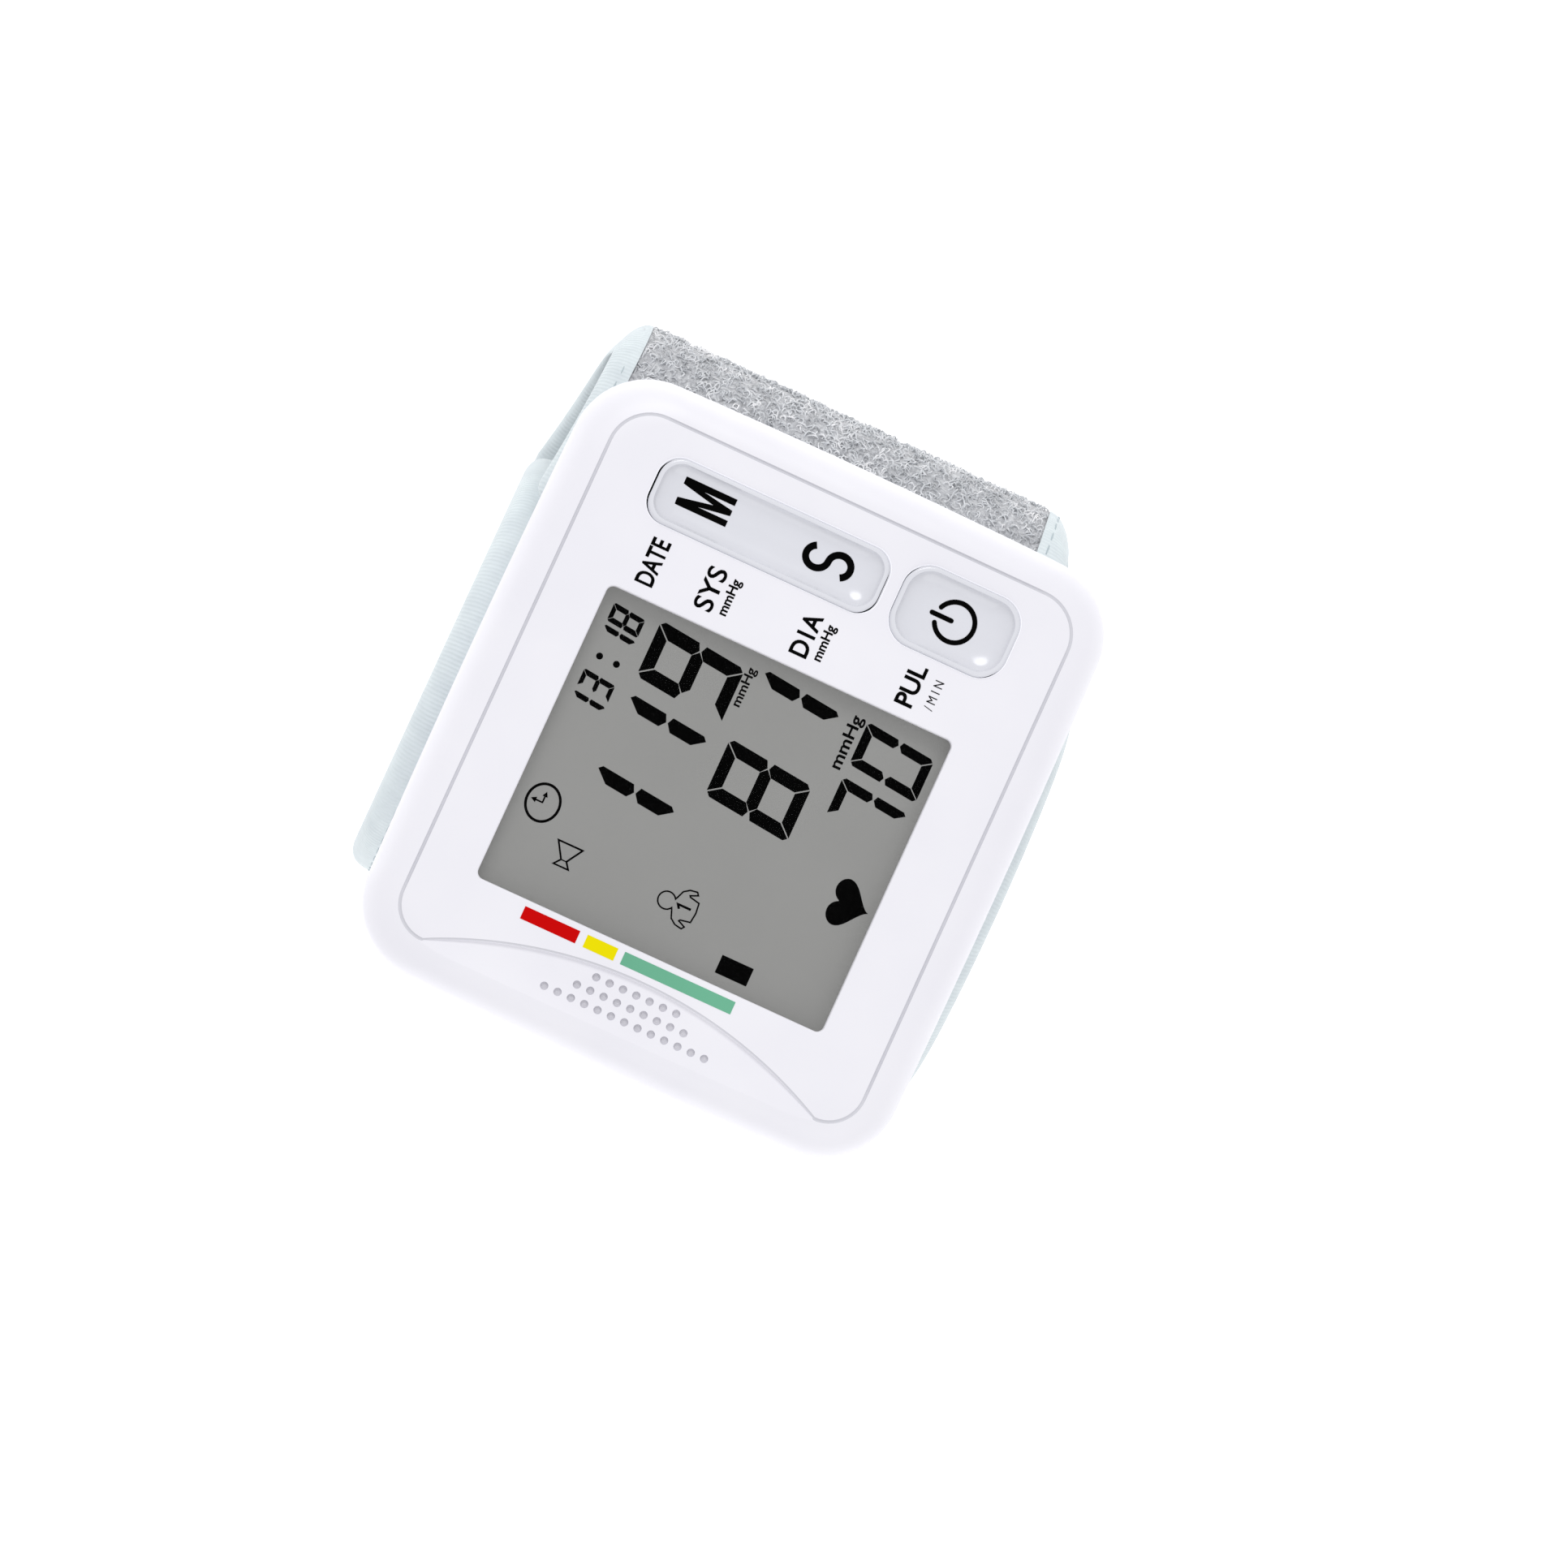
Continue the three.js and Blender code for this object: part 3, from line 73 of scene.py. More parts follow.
# Case
front_low, front_high = span("front_shell")
side_bow = 0.3
half_width = front_high.x - side_bow
half_length = front_high.y - side_bow
face_z = front_high.z
case_depth = 27
under_z = face_z - case_depth
corner_radius = 9.5
rim_width = 4.5
rim_height = 5
hull_reach_x = 17
hull_reach_y = 7
hull_height = 9
saddle_radius = 300
case_wall = 2
face_wall = 2.2
hull_z = under_z - (half_width - hull_reach_x) ** 2 / (2 * saddle_radius)
post_radius = 3.5
screw_head_radius = 2.2
screw_head_height = 1.8

# Battery bay and door
door_low, door_high = span("battery_door")
door_gap = 0.3
door_depth = 6
bay_right = span("battery_2")[1].x + door_gap
bay_rib = 1.2
recess_depth = 0.45
grip_pitch = 1.8

# Face panel, crescent and speaker holes
panel_half_x = half_width - 4.55
panel_half_y = half_length - 4.5
panel_radius = 5.2
panel_left_radius = 4.54
line_width = 0.42
line_depth = 0.14
crescent_inset = 10.7
arc_x = crescent_inset - half_width
arc_top = panel_half_y - panel_left_radius
arc_bulge = arc_x + panel_half_x
arc_radius = (arc_top ** 2 + arc_bulge ** 2) / (2 * arc_bulge)
scoop_depth = 0.6
scoop_width = 7.1
wall_slope = 0.2
hole_radius = 0.5
hole_pitch = 1.75
hole_counts = [13, 9, 7]
hole_first_x = 5.6 - half_width
hole_centre_y = -0.3
gauze_drop = 0.45

# Display window
window_low = (-24.9, -22.3)
window_high = (13.5, 23.1)
window_middle, window_half = middle_and_half(window_low, window_high)
window_radius = 0.9
window_fillet = 0.25
pocket_margin = 1.8
pocket_roof = 1.1

# Keys
key_rise = 0.45
lip_width = 0.6
bowl_depth = 1.5
bowl_start = 0.55
bowl_end = 3.7
bowl_power = 1.8
key_fillet = 0.08
key_narrowing = (0.06, 0.02)
gap_depth = 0.6
side_gap = 0.14
end_gap = 0.24
pin_low, pin_high = span("key_pivot_pin")
pin_z = (pin_low.z + pin_high.z) / 2
pin_bore = 0.76
boss_radius = 1.3
stem_radius = 1.5
stem_low = span("memory_set_key")[0].z + 0.05
memory_middle, memory_half = middle_and_half(*span("memory_set_key"))
power_flange = 0.9
power_middle, power_half = middle_and_half(*span("power_key"), power_flange)
stem_reach = memory_half[1] - 6
memory_radius = 2.7
power_radius = 3.3

# Cuff
fabric_low, fabric_high = span("cuff_outer_fabric")
cuff_half = span("cuff_binding")[1].y
loop_half_width = -fabric_low.x
crown_z = fabric_high.z
foot_depth = 0.5
loop_half_height = (crown_z + foot_depth) / 2
loop_centre_z = crown_z - loop_half_height
cuff_thickness = 5.3
flap_thickness = 2.3
fabric_thickness = 1.2
lining_thickness = 0.8
curler_thickness = 0.8
bladder_thickness = 1.6
layer_gap = 0.3
layer_inset = 7
shoulder_radius = 20
foot_half = 9
end_radius = 3
tape_width = 4.5
tape_tuck = 1.2
narrow_tape = 3.4
slack_edge = 0.9
hinge = Vector(next(j for j in frame["joints"] if j["name"] == "flap_open")["pos_m"]) / mm
hinge_slope = radians(40)
bulge_x = span("flap_outer_fabric")[1].x
bulge_drop = 16.6
bulge_radius = 13
bulge_turn = radians(60)
tip_drop = 0.9
bulge_curl = 3.6
curl_reach = 10
# The cuff's half width at the hinge, the flap's middle and its tip, on the hand's side and the arm's
edge_shares = {1: (0.985, 0.9, 0.95), -1: (0.985, 0.775, 0.86)}
seed = 7


# Colours and materials
def colour(code):
    """A linear colour from an sRGB hex code."""
    shares = [int(code[i:i + 2], 16) / 255 for i in (1, 3, 5)]
    linear = [share / 12.92 if share <= 0.04045 else ((share + 0.055) / 1.055) ** 2.4 for share in shares]
    return linear + [1]


def add_node(tree, kind, inputs, **settings):
    """Adds a node with its settings. An input is a value, or another node's output to link."""
    node = tree.nodes.new(kind)
    for name, value in settings.items():
        setattr(node, name, value)
    for socket, value in inputs.items():
        if isinstance(value, bpy.types.NodeSocket):
            tree.links.new(value, node.inputs[socket])
        else:
            node.inputs[socket].default_value = value
    return node


def start_material(name, space="Object", **inputs):
    """A material with its shader's inputs set (words joined by an underscore), and its pattern's place."""
    made = bpy.data.materials.new(name)
    made.use_nodes = True
    tree = made.node_tree
    for socket, value in inputs.items():
        tree.nodes["Principled BSDF"].inputs[socket.replace("_", " ")].default_value = value
    return made, tree, add_node(tree, "ShaderNodeTexCoord", {}).outputs[space]


def add_noise(tree, place, size, detail, **more):
    """Noise with cells of a size in millimetres, on coordinates in metres."""
    inputs = {"Vector": place, "Scale": 1 / (size * mm), "Detail": detail, **more}
    return add_node(tree, "ShaderNodeTexNoise", inputs).outputs["Fac"]


def dress(made, factor, stops, height=None, distance=0.0, strength=1.0):
    """Colours a material by a factor through places and hex codes, and embosses it by a height."""
    tree = made.node_tree
    shader = tree.nodes["Principled BSDF"]
    ramp = add_node(tree, "ShaderNodeValToRGB", {"Fac": factor})
    elements = ramp.color_ramp.elements
    while len(elements) < len(stops):
        elements.new(0.5)
    for element, (place, code) in zip(elements, stops):
        element.position = place
        element.color = colour(code)
    tree.links.new(ramp.outputs["Color"], shader.inputs["Base Color"])
    if height:
        inputs = {"Height": height, "Distance": distance * mm, "Strength": strength}
        bump = add_node(tree, "ShaderNodeBump", inputs)
        tree.links.new(bump.outputs["Normal"], shader.inputs["Normal"])
    return made


def moulded(name, dark, light, roughness, grain, depth, mottle=14, low=0.3, **inputs):
    """A moulded plastic: faint mottling, and a grain of a given size and depth in its surface."""
    made, tree, place = start_material(name, Roughness=roughness, **inputs)
    stops = [(low, dark), (1 - low, light)]
    return dress(made, add_noise(tree, place, mottle, 3), stops, add_noise(tree, place, grain, 2), depth)


# ABS with a fine satin texture: soft even white with a faint violet cast
case_abs = moulded("satin_white_abs", "#EFEEF4", "#F3F2F7", 0.42, 0.5, 0.002, IOR=1.53)
# The same plastic in the line round the face, duller, and darker with painted shade in the groove
groove_abs_painted_shade = moulded("abs_with_painted_shade_in_the_line", "#D4D4DA", "#D9D9DF", 0.6, 0.5, 0.002)
# The walls of the gaps round the keys glow faintly: painted light, standing in for light let through by the
# milky keys
gap_abs_painted_glow = moulded("abs_with_painted_glow_in_the_key_gaps", "#E6E6EC", "#EAEAF0", 0.5, 0.5, 0.002,
                  Emission_Color=(1, 1, 1, 1), Emission_Strength=0.3)
key_abs = moulded("glossy_milky_key_plastic", "#DFE0E6", "#E3E4EA", 0.2, 1.2, 0.0008, IOR=1.53,
                  Coat_Weight=0.4, Coat_Roughness=0.16)
lens_acrylic = moulded("clear_polished_acrylic", "#1C1E1E", "#202222", 0.05, 3, 0.0005, IOR=1.49, Alpha=0.012)
# Liquid crystal glass with a matt grey polariser on top: even grey, a little warm. It glows with painted
# light, which evens out the shade near the window's edges; the display has no backlight
display_glass_painted_glow = moulded("grey_polariser_film_painted_glow", "#6F6F6D", "#727270", 0.45, 0.6, 0.0006, low=0.35, IOR=1.5,
                        Emission_Color=colour("#6C6C6B"), Emission_Strength=0.86)
segment_black = moulded("switched_segment_black", "#010101", "#030303", 0.5, 1, 0.0005,
                        Specular_IOR_Level=0.02)
# Screen ink on the face: flat colours with a hard edge
legend_ink = moulded("black_screen_ink", "#020202", "#050505", 0.6, 0.6, 0.0005, Specular_IOR_Level=0.02)
red_ink = moulded("red_screen_ink", "#C90202", "#CF0303", 0.45, 0.6, 0.001, Specular_IOR_Level=0.05)
yellow_ink = moulded("yellow_screen_ink", "#EEE000", "#F2E402", 0.45, 0.6, 0.001, Specular_IOR_Level=0.05)
green_ink = moulded("green_screen_ink", "#63AD8B", "#69B592", 0.45, 0.6, 0.001)
light_nylon = moulded("natural_nylon", "#E3E2DC", "#EAE9E4", 0.5, 0.8, 0.004)
black_abs = moulded("black_moulded_plastic", "#1B1C1E", "#242528", 0.5, 0.6, 0.004)
# Solder mask on glass fibre board: deep green with the weave just showing
solder_mask = moulded("green_solder_mask", "#245B39", "#2C6A44", 0.35, 1, 0.006, mottle=4, low=0.35)
silicone = moulded("milky_silicone_tube", "#DFDAD0", "#E8E4DB", 0.45, 1.5, 0.005)
zebra_rubber = moulded("conductive_rubber", "#222224", "#39393B", 0.8, 0.5, 0.01)
bladder_film = moulded("welded_pvc_film", "#C5D0D8", "#D0DAE0", 0.35, 2, 0.05)
cell_jacket = moulded("shrunk_film_jacket", "#545960", "#5F646B", 0.3, 5, 0.004, Metallic=0.6)
# Speaker cloth behind the holes: light grey, so the holes look light
speaker_cloth = moulded("pale_speaker_cloth", "#D3D2D7", "#DCDBE0", 0.9, 0.3, 0.05)
# Sewing thread: a little darker than the tape, because it lies in its own shade
thread = moulded("polyester_thread", "#AEBCC1", "#BECACE", 0.7, 0.3, 0.02)
hook_nylon = moulded("moulded_nylon_hooks", "#D6D8DC", "#E2E4E7", 0.6, 0.5, 0.03)


def brushed(name, dark, light, width, roughness):
    """A plated metal with fine rubbed streaks along the length of the case."""
    made, tree, place = start_material(name, Metallic=1, Roughness=roughness)
    drawn = add_node(tree, "ShaderNodeMapping", {"Vector": place, "Scale": (1, 0.06, 1)})
    streaks = add_noise(tree, drawn.outputs[0], width, 3)
    return dress(made, streaks, [(0.3, dark), (0.7, light)], streaks, 0.004)


# Zinc plate on steel is bluish and a little rough, nickel plate warmer and smoother
zinc_steel = brushed("zinc_plated_steel", "#A9ADB3", "#C3C6CA", 0.3, 0.32)
nickel_plate = brushed("nickel_plated_spring_steel", "#C2BFB8", "#D6D4CE", 0.4, 0.22)


def woven(name, dark, light, pitch, direction, wander, detail_scale, depth, strength, **inputs):
    """A cloth with fine rows at a pitch, on the piece's own map, which is in millimetres."""
    made, tree, place = start_material(name, "UV", **inputs)
    patches = add_node(tree, "ShaderNodeTexNoise", {"Vector": place, "Scale": 0.35, "Detail": 4})
    waves = {"Vector": place, "Scale": 2 * pi / pitch / 20, "Distortion": wander, "Detail": 2,
             "Detail Scale": detail_scale}
    rows = add_node(tree, "ShaderNodeTexWave", waves, bands_direction=direction)
    stops = [(0.3, dark), (0.7, light)]
    return dress(made, patches.outputs["Fac"], stops, rows.outputs["Fac"], depth, strength)


# Binding tape has ribs across its width, the lining rows of knitted stitches
tape_cloth = woven("pale_ribbed_binding_tape", "#D6DFE2", "#DFE8EA", 0.55, "X", 1.2, 0.8, 0.06, 0.8,
                   Roughness=0.75, Sheen_Weight=0.2)
lining_knit = woven("smooth_pale_knit", "#BFC5CA", "#CCD1D6", 0.6, "Y", 2, 1, 0.05, 0.7, Roughness=0.85,
                    Sheen_Weight=0.25)


def loop_cloth():
    """Brushed loop fabric: curled fibres about half a millimetre across, light over a darker ground."""
    made, tree, place = start_material("brushed_grey_loop_fabric", Roughness=0.95, Sheen_Weight=0.9,
                                       Sheen_Roughness=0.5)
    curl = add_noise(tree, place, 0.9, 5, Distortion=1.6)
    stops = [(0.3, "#898B8F"), (0.45, "#B1B3B7"), (0.6, "#CED0D3"), (0.75, "#EAECEE")]
    return dress(made, curl, stops, curl, 0.5, 0.9)


def curl_fibre():
    """The curls that stand on the loop fabric, each a slightly other grey."""
    made, tree, place = start_material("curled_grey_nylon_fibre", Roughness=0.8, Sheen_Weight=0.8)
    shade = add_noise(tree, place, 2.4, 5, Roughness=0.68)
    return dress(made, shade, [(0.34, "#A3A6AA"), (0.5, "#E1E4E7"), (0.64, "#FEFEFF")])


loop_fabric = loop_cloth()
fibre = curl_fibre()


# Making and finishing pieces
def outline(half_x, half_y, radius, z, middle=(0, 0), steps=12, bow=0.0, side_steps=0):
    """A rounded rectangle: four corner arcs, joined by sides that may bow out a little."""
    points = []
    corners = [(1, 1), (-1, 1), (-1, -1), (1, -1)]
    for turn, (sign_x, sign_y) in enumerate(corners):
        for i in range(steps + 1):
            angle = (turn + i / steps) * pi / 2
            x = middle[0] + sign_x * (half_x - radius) + radius * cos(angle)
            y = middle[1] + sign_y * (half_y - radius) + radius * sin(angle)
            points.append(Vector((x, y, z)))
        next_x, next_y = corners[(turn + 1) % 4]
        out = Vector((cos((turn + 1) * pi / 2), sin((turn + 1) * pi / 2), 0))
        start = points[-1]
        corner = Vector((middle[0] + next_x * (half_x - radius), middle[1] + next_y * (half_y - radius), z))
        end = corner + radius * out
        for i in range(1, side_steps):
            share = i / side_steps
            points.append(start.lerp(end, share) + 4 * bow * share * (1 - share) * out)
    return points


def loft(rings, round_again=False):
    """A skin over rings of points, with a face on each end, or one that meets itself."""
    form = bmesh.new()
    points = [form.verts.new(point) for point in rings[0]]
    edges = [form.edges.new(pair) for pair in zip(points, points[1:] + points[:1])]
    if round_again:
        rings = rings + rings[:1]
    else:
        bmesh.ops.edgeloop_fill(form, edges=edges)
    for ring in rings[1:]:
        made = bmesh.ops.extrude_edge_only(form, edges=edges)["geom"]
        edges = [part for part in made if isinstance(part, bmesh.types.BMEdge)]
        fresh = {part for part in made if isinstance(part, bmesh.types.BMVert)}
        points = [next(edge.other_vert(point) for edge in point.link_edges if edge.other_vert(point) in fresh)
                  for point in points]
        for point, place in zip(points, ring):
            point.co = place
    if round_again:
        bmesh.ops.remove_doubles(form, verts=form.verts, dist=1e-4)
    else:
        bmesh.ops.edgeloop_fill(form, edges=edges)
    bmesh.ops.recalc_face_normals(form, faces=form.faces)
    return form


def box_form(x0, x1, y0, y1, z0, z1, round_edges=0):
    """A box from its bounds, its edges rounded by a radius."""
    form = bmesh.new()
    bmesh.ops.create_cube(form, size=1)
    bmesh.ops.scale(form, vec=(x1 - x0, y1 - y0, z1 - z0), verts=form.verts)
    bmesh.ops.translate(form, vec=((x0 + x1) / 2, (y0 + y1) / 2, (z0 + z1) / 2), verts=form.verts)
    if round_edges:
        bmesh.ops.bevel(form, geom=form.edges, offset=round_edges, segments=4, profile=0.5, affect="EDGES",
                        material=-1)
    return form


def rod_form(radius, start, end, sides=24):
    """A round bar between two points."""
    start = Vector(start)
    way = Vector(end) - start
    form = bmesh.new()
    bmesh.ops.create_cone(form, cap_ends=True, segments=sides, radius1=radius, radius2=radius,
                          depth=way.length)
    turn = way.to_track_quat("Z", "Y").to_matrix()
    bmesh.ops.rotate(form, cent=(0, 0, 0), matrix=turn, verts=form.verts)
    bmesh.ops.translate(form, vec=start + way / 2, verts=form.verts)
    return form


def add_object(name, data):
    made = bpy.data.objects.new(name, data)
    bpy.context.collection.objects.link(made)
    return made


def piece(name, form, material=None):
    """Makes an object of a form, still in millimetres."""
    mesh = bpy.data.meshes.new(name)
    form.to_mesh(mesh)
    form.free()
    if material:
        mesh.materials.append(material)
    return add_object(name, mesh)


def shaped_mesh(made):
    """The mesh of an object with its modifiers applied, or of a curve."""
    return bpy.data.meshes.new_from_object(made.evaluated_get(bpy.context.evaluated_depsgraph_get()))


def curve_mesh(name, curve):
    holder = add_object(name, curve)
    mesh = shaped_mesh(holder)
    bpy.data.objects.remove(holder)
    return mesh


def to_form(made):
    """Turns an object back into a form."""
    form = bmesh.new()
    form.from_mesh(made.data)
    bpy.data.objects.remove(made)
    return form


def combine(made, form, operation, material=None):
    """Cuts a form from a piece, or joins one to it. The new faces can have their own material."""
    tool = piece("tool", form, material)
    change = made.modifiers.new("change", "BOOLEAN")
    change.operation = operation
    change.solver = "MANIFOLD"
    if material:
        change.material_mode = "TRANSFER"
    change.object = tool
    mesh = shaped_mesh(made)
    made.modifiers.clear()
    made.data = mesh
    bpy.data.objects.remove(tool)


def cut(made, *forms):
    for form in forms:
        combine(made, form, "DIFFERENCE")


def join(made, form):
    combine(made, form, "UNION")


def finish_piece(made, body, node=None, slot=None, sharp=35, weigh=False):
    """Scales a piece to metres, shades it, and puts it on its body in place of its CAD node."""
    made.data.transform(Matrix.Scale(mm, 4))
    made.data.shade_smooth()
    made.data.set_sharp_from_angle(angle=radians(sharp))
    if body:
        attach(made, body)
    if node:
        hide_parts(node)
    if weigh:
        # The large flat faces set the shading at their edges
        weighted = made.modifiers.new("weighted", "WEIGHTED_NORMAL")
        weighted.keep_sharp = True
        weighted.weight = 80


# The case
def case_ring(inset_x, inset_y, radius, z):
    return outline(half_width - inset_x, half_length - inset_y, radius, z, (0, 0), 14, side_bow, 10)


def case_rings(wall, top_wall, low_z, steps=22):
    """The levels of the case, drawn in by a wall: the hull, the side and the rounded rim."""
    rings = []
    radius = corner_radius - wall
    angles = [i / steps * pi / 2 for i in range(steps + 1)]
    if low_z < face_z - rim_height - hull_height:
        for angle in angles:
            reach = 1 - sin(angle)
            z = hull_z + wall + (hull_height - wall) * (1 - cos(angle))
            rings.append(case_ring(wall + (hull_reach_x - wall) * reach, wall + (hull_reach_y - wall) * reach,
                                   radius, z))
    else:
        rings.append(case_ring(wall, wall, radius, low_z))
    rim = max(rim_width - wall, layer_gap)
    for angle in angles:
        reach = wall + rim * (1 - cos(angle))
        z = face_z - top_wall - (rim_height - wall) * (1 - sin(angle))
        rings.append(case_ring(reach, reach, radius, z))
    return rings


def panel_outline(grow, z):
    """The face panel's edge: three plain sides, and at the left the crescent's arc between round corners."""
    right = panel_half_x - panel_radius
    top = panel_half_y - panel_radius
    left = panel_left_radius - panel_half_x
    swing = asin(arc_top / (arc_radius - grow))
    points = []
    for x, y, radius, start, end, steps, first in (
        (right, top, panel_radius + grow, 0, pi / 2, 12, 0),
        (left, arc_top, panel_left_radius + grow, pi / 2, pi, 12, 0),
        (arc_x - arc_radius, 0, arc_radius - grow, swing, -swing, 48, 1),
        (left, -arc_top, panel_left_radius + grow, pi, 1.5 * pi, 12, 1),
        (right, -top, panel_radius + grow, 1.5 * pi, 2 * pi, 12, 0),
    ):
        for i in range(first, steps + 1):
            angle = start + (end - start) * i / steps
            points.append(Vector((x + radius * cos(angle), y + radius * sin(angle), z)))
    return points


def rim_drop(x, y):
    """How far the rounded rim has fallen below the face at a place in a corner of the panel."""
    a = abs(x) - half_width + corner_radius
    b = abs(y) - half_length + corner_radius
    reach = min(half_width - abs(x), half_length - abs(y))
    inside = (a + b) ** 2 - 2 * (a ** 2 + b ** 2 - corner_radius ** 2)
    if inside > 0:
        corner_reach = (sqrt(inside) - a - b) / 2
        if a + corner_reach > 0 and b + corner_reach > 0:
            reach = min(reach, corner_reach)
    share = max(1 - reach / rim_width, 0)
    return rim_height * (1 - sqrt(1 - share ** 2))


def panel_groove():
    """The line round the panel: a shallow groove with a round bottom and soft shoulders."""
    left = [(-1, 1), (-1, 0), (-0.7, -0.45), (-0.35, -0.85)]
    shares = left + [(0, -1)] + [(-side, rise) for side, rise in left[::-1]]
    rings = [panel_outline(line_width / 2 * side, face_z + line_depth * rise) for side, rise in shares]
    for ring in rings:
        for point in ring:
            point.z -= rim_drop(point.x, point.y)
    return loft(rings, True)


def dish_depth(x):
    """How far the dish lies below the face: it falls steeply from its left edge, then levels out."""
    share = min(max((x - arc_x + scoop_width) / scoop_width, 0), 1)
    return scoop_depth * (1 - (1 - share) ** 3)


def crescent_scoop():
    """The dish with the speaker holes, deepest along the crescent's arc."""
    reach = 2 * scoop_depth
    section = []
    for i in range(61):
        x = arc_x + scoop_width * (i / 55 - 1)
        section.append((x, face_z - dish_depth(x)))
    section += [(section[-1][0], face_z + reach), (section[0][0], face_z + reach)]
    ends = [[Vector((x, y, z)) for x, z in section] for y in (-half_length, half_length)]
    dish = piece("scoop", loft(ends))
    inside = bmesh.new()
    bmesh.ops.create_cone(inside, cap_ends=True, segments=720, depth=2 * reach,
                          radius1=arc_radius - wall_slope * reach, radius2=arc_radius + wall_slope * reach,
                          matrix=Matrix.Translation((arc_x - arc_radius, 0, face_z)))
    combine(dish, inside, "INTERSECT")
    return to_form(dish)


def flared_hole(half_x, half_y, radius, middle, fillet, narrow=(0, 0)):
    """A cutter for an opening whose upper edge is rounded. It may narrow on its way down."""
    levels = [(-narrow[0], -narrow[1], -min(narrow), z) for z in (face_z - 2 * face_wall, face_z - gap_depth)]
    for i in range(7):
        angle = i / 6 * pi / 2
        levels.append((*[fillet * (1 - cos(angle))] * 3, face_z - fillet * (1 - sin(angle))))
    levels.append((fillet, fillet, fillet, face_z + rim_height))
    return loft([outline(half_x + x, half_y + y, radius + r, z, middle, 10) for x, y, r, z in levels])


def hole_discs(depth, drop, in_dish):
    """A disc at each speaker hole, its middle a drop below the face, or below the dish."""
    form = bmesh.new()
    for column, count in enumerate(hole_counts):
        x = hole_first_x + column * hole_pitch
        z = face_z - (dish_depth(x) if in_dish else 0) - drop
        for i in range(count):
            place = Matrix.Translation((x, hole_centre_y + (i - (count - 1) / 2) * hole_pitch, z))
            bmesh.ops.create_cone(form, cap_ends=True, segments=20, radius1=hole_radius, radius2=hole_radius,
                                  depth=depth, matrix=place)
    return form


def make_front_shell():
    """The front shell, and the pale gauze set down in each speaker hole."""
    shell = piece("front_case", loft(case_rings(0, 0, front_low.z)), case_abs)
    pocket = box_form(window_low[0] - pocket_margin, window_high[0] + pocket_margin,
                      window_low[1] - pocket_margin, window_high[1] + pocket_margin,
                      face_z - 2 * face_wall, face_z - pocket_roof)
    cut(shell, loft(case_rings(case_wall, face_wall, front_low.z - case_wall)), pocket, crescent_scoop())
    # The groove's faces take the darker plastic: painted shade in the line round the panel
    combine(shell, panel_groove(), "DIFFERENCE", groove_abs_painted_shade)
    cut(shell, hole_discs(3 * face_wall, face_wall / 2, False),
        flared_hole(*window_half, window_radius, window_middle, window_fillet))
    for half, radius, middle, gap in ((memory_half, memory_radius, memory_middle, end_gap),
                                      (power_half, power_radius, power_middle, side_gap)):
        opening = flared_hole(half[0] + side_gap, half[1] + gap, radius + side_gap, middle, key_fillet,
                              key_narrowing)
        # The gap walls take the glowing plastic: painted light round the keys
        combine(shell, opening, "DIFFERENCE", gap_abs_painted_glow)
    finish_piece(shell, "monitor", "front_shell", "case_white", weigh=True)
    gauze = piece("sound_gauze", hole_discs(0.1, gauze_drop, True), speaker_cloth)
    finish_piece(gauze, "monitor", None, "light_plastic")


def door_space(grow):
    far = half_width + 2 * side_bow + 5
    return box_form(-far, door_depth - half_width, door_low.y - grow, door_high.y + grow, door_low.z - grow,
                    door_high.z + grow)


def saddle_form():
    """The barrel that the underside of the case is hollowed to."""
    low = under_z - saddle_radius
    return rod_form(saddle_radius, (0, -2 * half_length, low), (0, 2 * half_length, low), 1440)


def make_rear_shell():
    """The rear shell: hollow, with the walls of the battery bay and four screw posts."""
    top = front_low.z - door_gap
    shell = piece("rear_case", loft(case_rings(0, 0, hull_z)), case_abs)
    big = 2 * half_width
    cavity = piece("cavity", loft(case_rings(case_wall, face_wall, hull_z)))
    contact_y = span("positive_contact")[1].y + door_gap / 2
    for x0, x1, y0, y1 in (
        (bay_right, bay_right + bay_rib, -contact_y - bay_rib, contact_y + bay_rib),
        (-big, bay_right + bay_rib, contact_y, contact_y + bay_rib),
        (-big, bay_right + bay_rib, -contact_y - bay_rib, -contact_y),
    ):
        cut(cavity, box_form(x0, x1, y0, y1, 0, door_high.z + door_gap))
    above = box_form(-big, big, -big, big, top, 2 * big)
    cut(shell, to_form(cavity), above, door_space(door_gap), saddle_form())
    for i in range(4):
        low, high = span(f"case_screw_{i + 1}")
        x, y = middle_and_half(low, high)[0]
        join(shell, rod_form(post_radius, (x, y, low.z - 2), (x, y, top - 1), 40))
        cut(shell, rod_form(screw_head_radius, (x, y, 0), (x, y, low.z + screw_head_height), 40))
    cut(shell, saddle_form())
    finish_piece(shell, "monitor", "rear_shell", "case_white", weigh=True)


def make_door():
    """The battery door: a piece of the same side, with a recess for the thumb and three grip ribs in it."""
    door = piece("battery_cover", loft(case_rings(0, 0, hull_z)), case_abs)
    cut(door, loft(case_rings(case_wall, face_wall, hull_z)))
    combine(door, door_space(0), "INTERSECT")
    middle_z = (door_low.z + door_high.z) / 2
    x = -half_width - side_bow + recess_depth
    cut(door, box_form(x - 5, x + 0.1, -7, 7, middle_z - 3, middle_z + 3, 0.6))
    for i in (-1, 0, 1):
        z = middle_z + i * grip_pitch
        join(door, box_form(x - 0.4, x + 1, -6, 6, z - 0.4, z + 0.4, 0.22))
    finish_piece(door, "door", "battery_door", "case_white", weigh=True)


# The keys
def bowl_drop(inset):
    """How far the top of a key lies below its lip, at a distance in from its edge."""
    share = min(max((inset - bowl_start) / (bowl_end - bowl_start), 0), 1)
    return bowl_depth * sqrt(1 - (1 - share) ** bowl_power)


